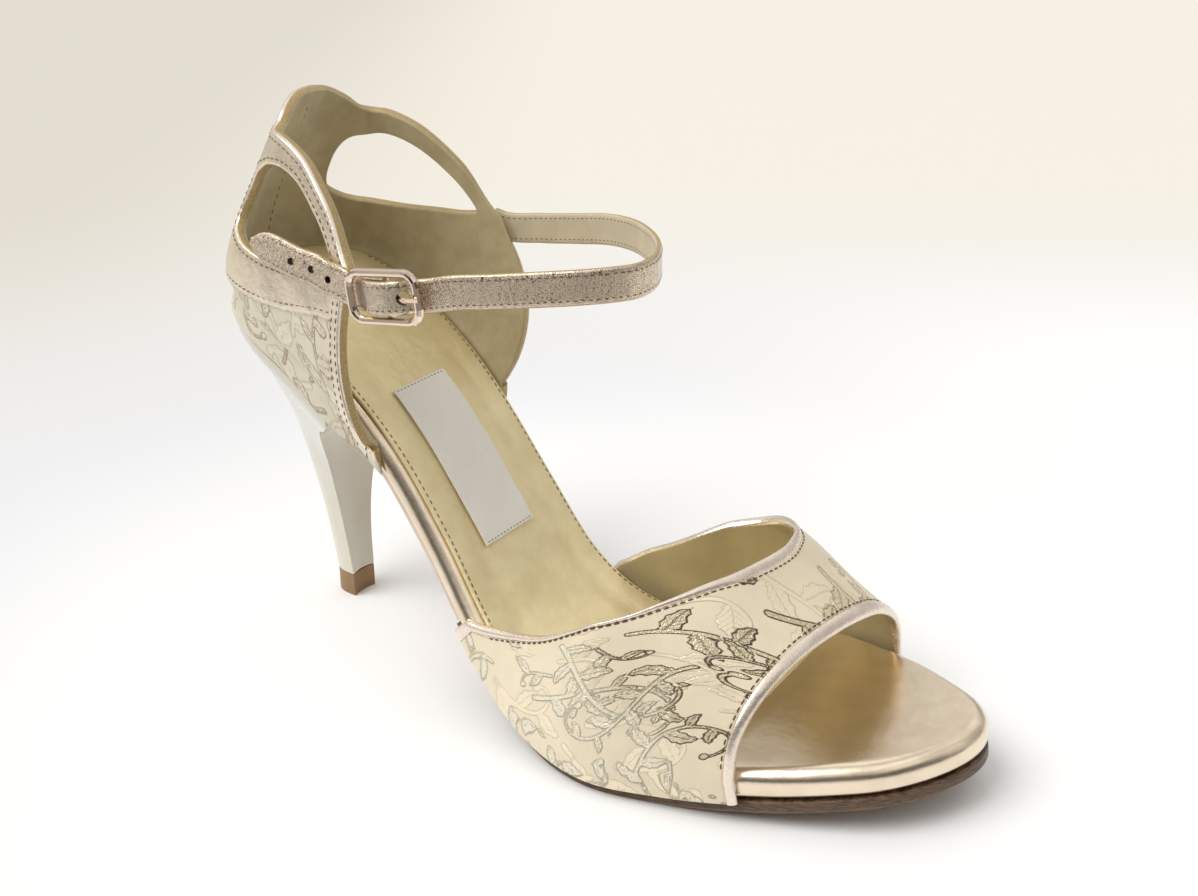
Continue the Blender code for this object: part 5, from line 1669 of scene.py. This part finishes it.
def studio_floor():
    mesh = bpy.data.meshes.new("paper")
    work = bmesh.new()
    bmesh.ops.create_grid(work, x_segments=2, y_segments=2, size=6.0)
    work.to_mesh(mesh)
    work.free()
    material, g, shader = new_material("paper")
    where = g.node("ShaderNodeTexCoord").outputs["Object"]
    away = g.node("ShaderNodeVectorMath", operation="DOT_PRODUCT")
    g.wire(where, away.inputs[0])
    away.inputs[1].default_value = FACING
    aside = g.node("ShaderNodeVectorMath", operation="DOT_PRODUCT")
    g.wire(where, aside.inputs[0])
    aside.inputs[1].default_value = LEFT
    away, aside = away.outputs["Value"], aside.outputs["Value"]
    centre = g.node("ShaderNodeVectorMath", operation="LENGTH")
    g.wire(where, centre.inputs[0])
    # painted light: the paper is tinted cool near the camera and warm far off
    paper = g.mix(g.ramp(away, 0.15, 0.60), PAPER_NEAR, PAPER_FAR)
    # painted shade in the far left corner
    corner = g.times(g.ramp(aside, 0.0, 0.34), g.ramp(away, 0.0, 0.5))
    paper = g.mix(corner, paper, PAPER_CORNER_SHADE)
    # painted light on the right
    right = g.times(g.ramp(aside, 0.02, -0.24), g.ramp(away, 0.45, 0.15))
    paper = g.mix(right, paper, PAPER_RIGHT_LIGHT)
    # painted pool of light round the shoe, lifting its shadow on the paper
    paper = g.mix(g.ramp(centre.outputs["Value"], 0.24, 0.06), paper, PAPER_LIGHT_POOL)
    # painted shade: the paper behind the camera, out of view, is made dark to stand in for the room's shaded
    # side, and the foils reflect it
    g.wire(g.mix(g.ramp(away, -0.12, -0.30), paper, PAPER_BEHIND_SHADE), shader["Base Color"])
    g.wire(0.85, shader["Roughness"])
    g.wire(0.1, shader["Specular IOR Level"])
    mesh.materials.append(material)
    made = bpy.data.objects.new("paper", mesh)
    bpy.context.scene.collection.objects.link(made)


# Colours of the paper, with the fall of light painted on: near the camera (cool painted light), far off (warm
# painted light), in the far left corner (painted shade), on the right (painted light), round the shoe (a
# painted pool of light that lifts the shoe's shadow), and behind the camera (painted shade for the room's
# dark side)
PAPER_NEAR = (0.745, 0.76, 0.80)
PAPER_FAR = (0.78, 0.755, 0.685)
PAPER_CORNER_SHADE = (0.64, 0.615, 0.565)
PAPER_RIGHT_LIGHT = (0.90, 0.90, 0.90)
PAPER_LIGHT_POOL = (0.93, 0.94, 0.96)
PAPER_BEHIND_SHADE = (0.22, 0.21, 0.20)


def sun(name, toward, strength, angle, colour):
    data = bpy.data.lights.new(name, "SUN")
    data.energy = strength
    data.angle = math.radians(angle)
    data.color = colour
    made = bpy.data.objects.new(name, data)
    bpy.context.scene.collection.objects.link(made)
    made.rotation_mode = "QUATERNION"
    made.rotation_quaternion = Vector(toward).to_track_quat("Z", "Y")
    return made


def studio_world():
    world = bpy.data.worlds.new("studio")
    bpy.context.scene.world = world
    world.use_nodes = True
    tree = world.node_tree
    g = Graph(tree)
    back = tree.nodes["Background"]
    where = g.node("ShaderNodeTexCoord").outputs["Generated"]
    apart = g.node("ShaderNodeSeparateXYZ")
    g.wire(where, apart.inputs[0])
    rise = apart.outputs[2]
    facing = g.node("ShaderNodeVectorMath", operation="DOT_PRODUCT")
    g.wire(where, facing.inputs[0])
    facing.inputs[1].default_value = -FACING
    level = g.ramp(rise, 0.0, 0.75, 0.42, 0.95)
    shade = g.times(g.ramp(facing.outputs["Value"], 0.1, 0.75), g.ramp(rise, 0.75, 0.35))
    level = g.times(level, g.minus(1.0, g.times(shade, ROOM_SHADE)))
    patches = g.ramp(g.noise(where, 2.6, 2, 0.55), 0.40, 0.60, 0.62, 1.35)
    level = g.times(level, patches)
    g.wire(level, back.inputs["Strength"])
    back.inputs["Color"].default_value = (1.0, 0.975, 0.93, 1)


ROOM_SHADE = 0.82
SUN_POWER = 1.75

studio_floor()
studio_world()
sun("window", -0.25 * FACING + 0.62 * LEFT + (0, 0, 0.85), SUN_POWER, 42, (1.0, 0.985, 0.96))

PHOTO_WIDTH = 1198        # pixels
FOCAL_PIXELS = 1473.98
SENSOR = 36               # mm
CAMERA_AT = (0.2822, -0.2739, 0.2051)
CAMERA_TO = (0.095725, 0.011278, 0.057295)

scene = bpy.context.scene
camera_data = bpy.data.cameras.new("camera")
camera_data.sensor_width = SENSOR
camera_data.lens = FOCAL_PIXELS / PHOTO_WIDTH * SENSOR
camera_data.clip_start = 0.01
camera = bpy.data.objects.new("camera", camera_data)
scene.collection.objects.link(camera)
camera.location = Vector(np.array(CAMERA_AT) + SHIFT)
camera.rotation_mode = "QUATERNION"
camera.rotation_quaternion = (Vector(CAMERA_TO) - Vector(CAMERA_AT)).to_track_quat("-Z", "Y")
scene.camera = camera
scene.view_settings.view_transform = "Standard"
scene.view_settings.look = "None"
scene.view_settings.exposure = 0.0
scene.cycles.max_bounces = 8
scene.cycles.use_denoising = True
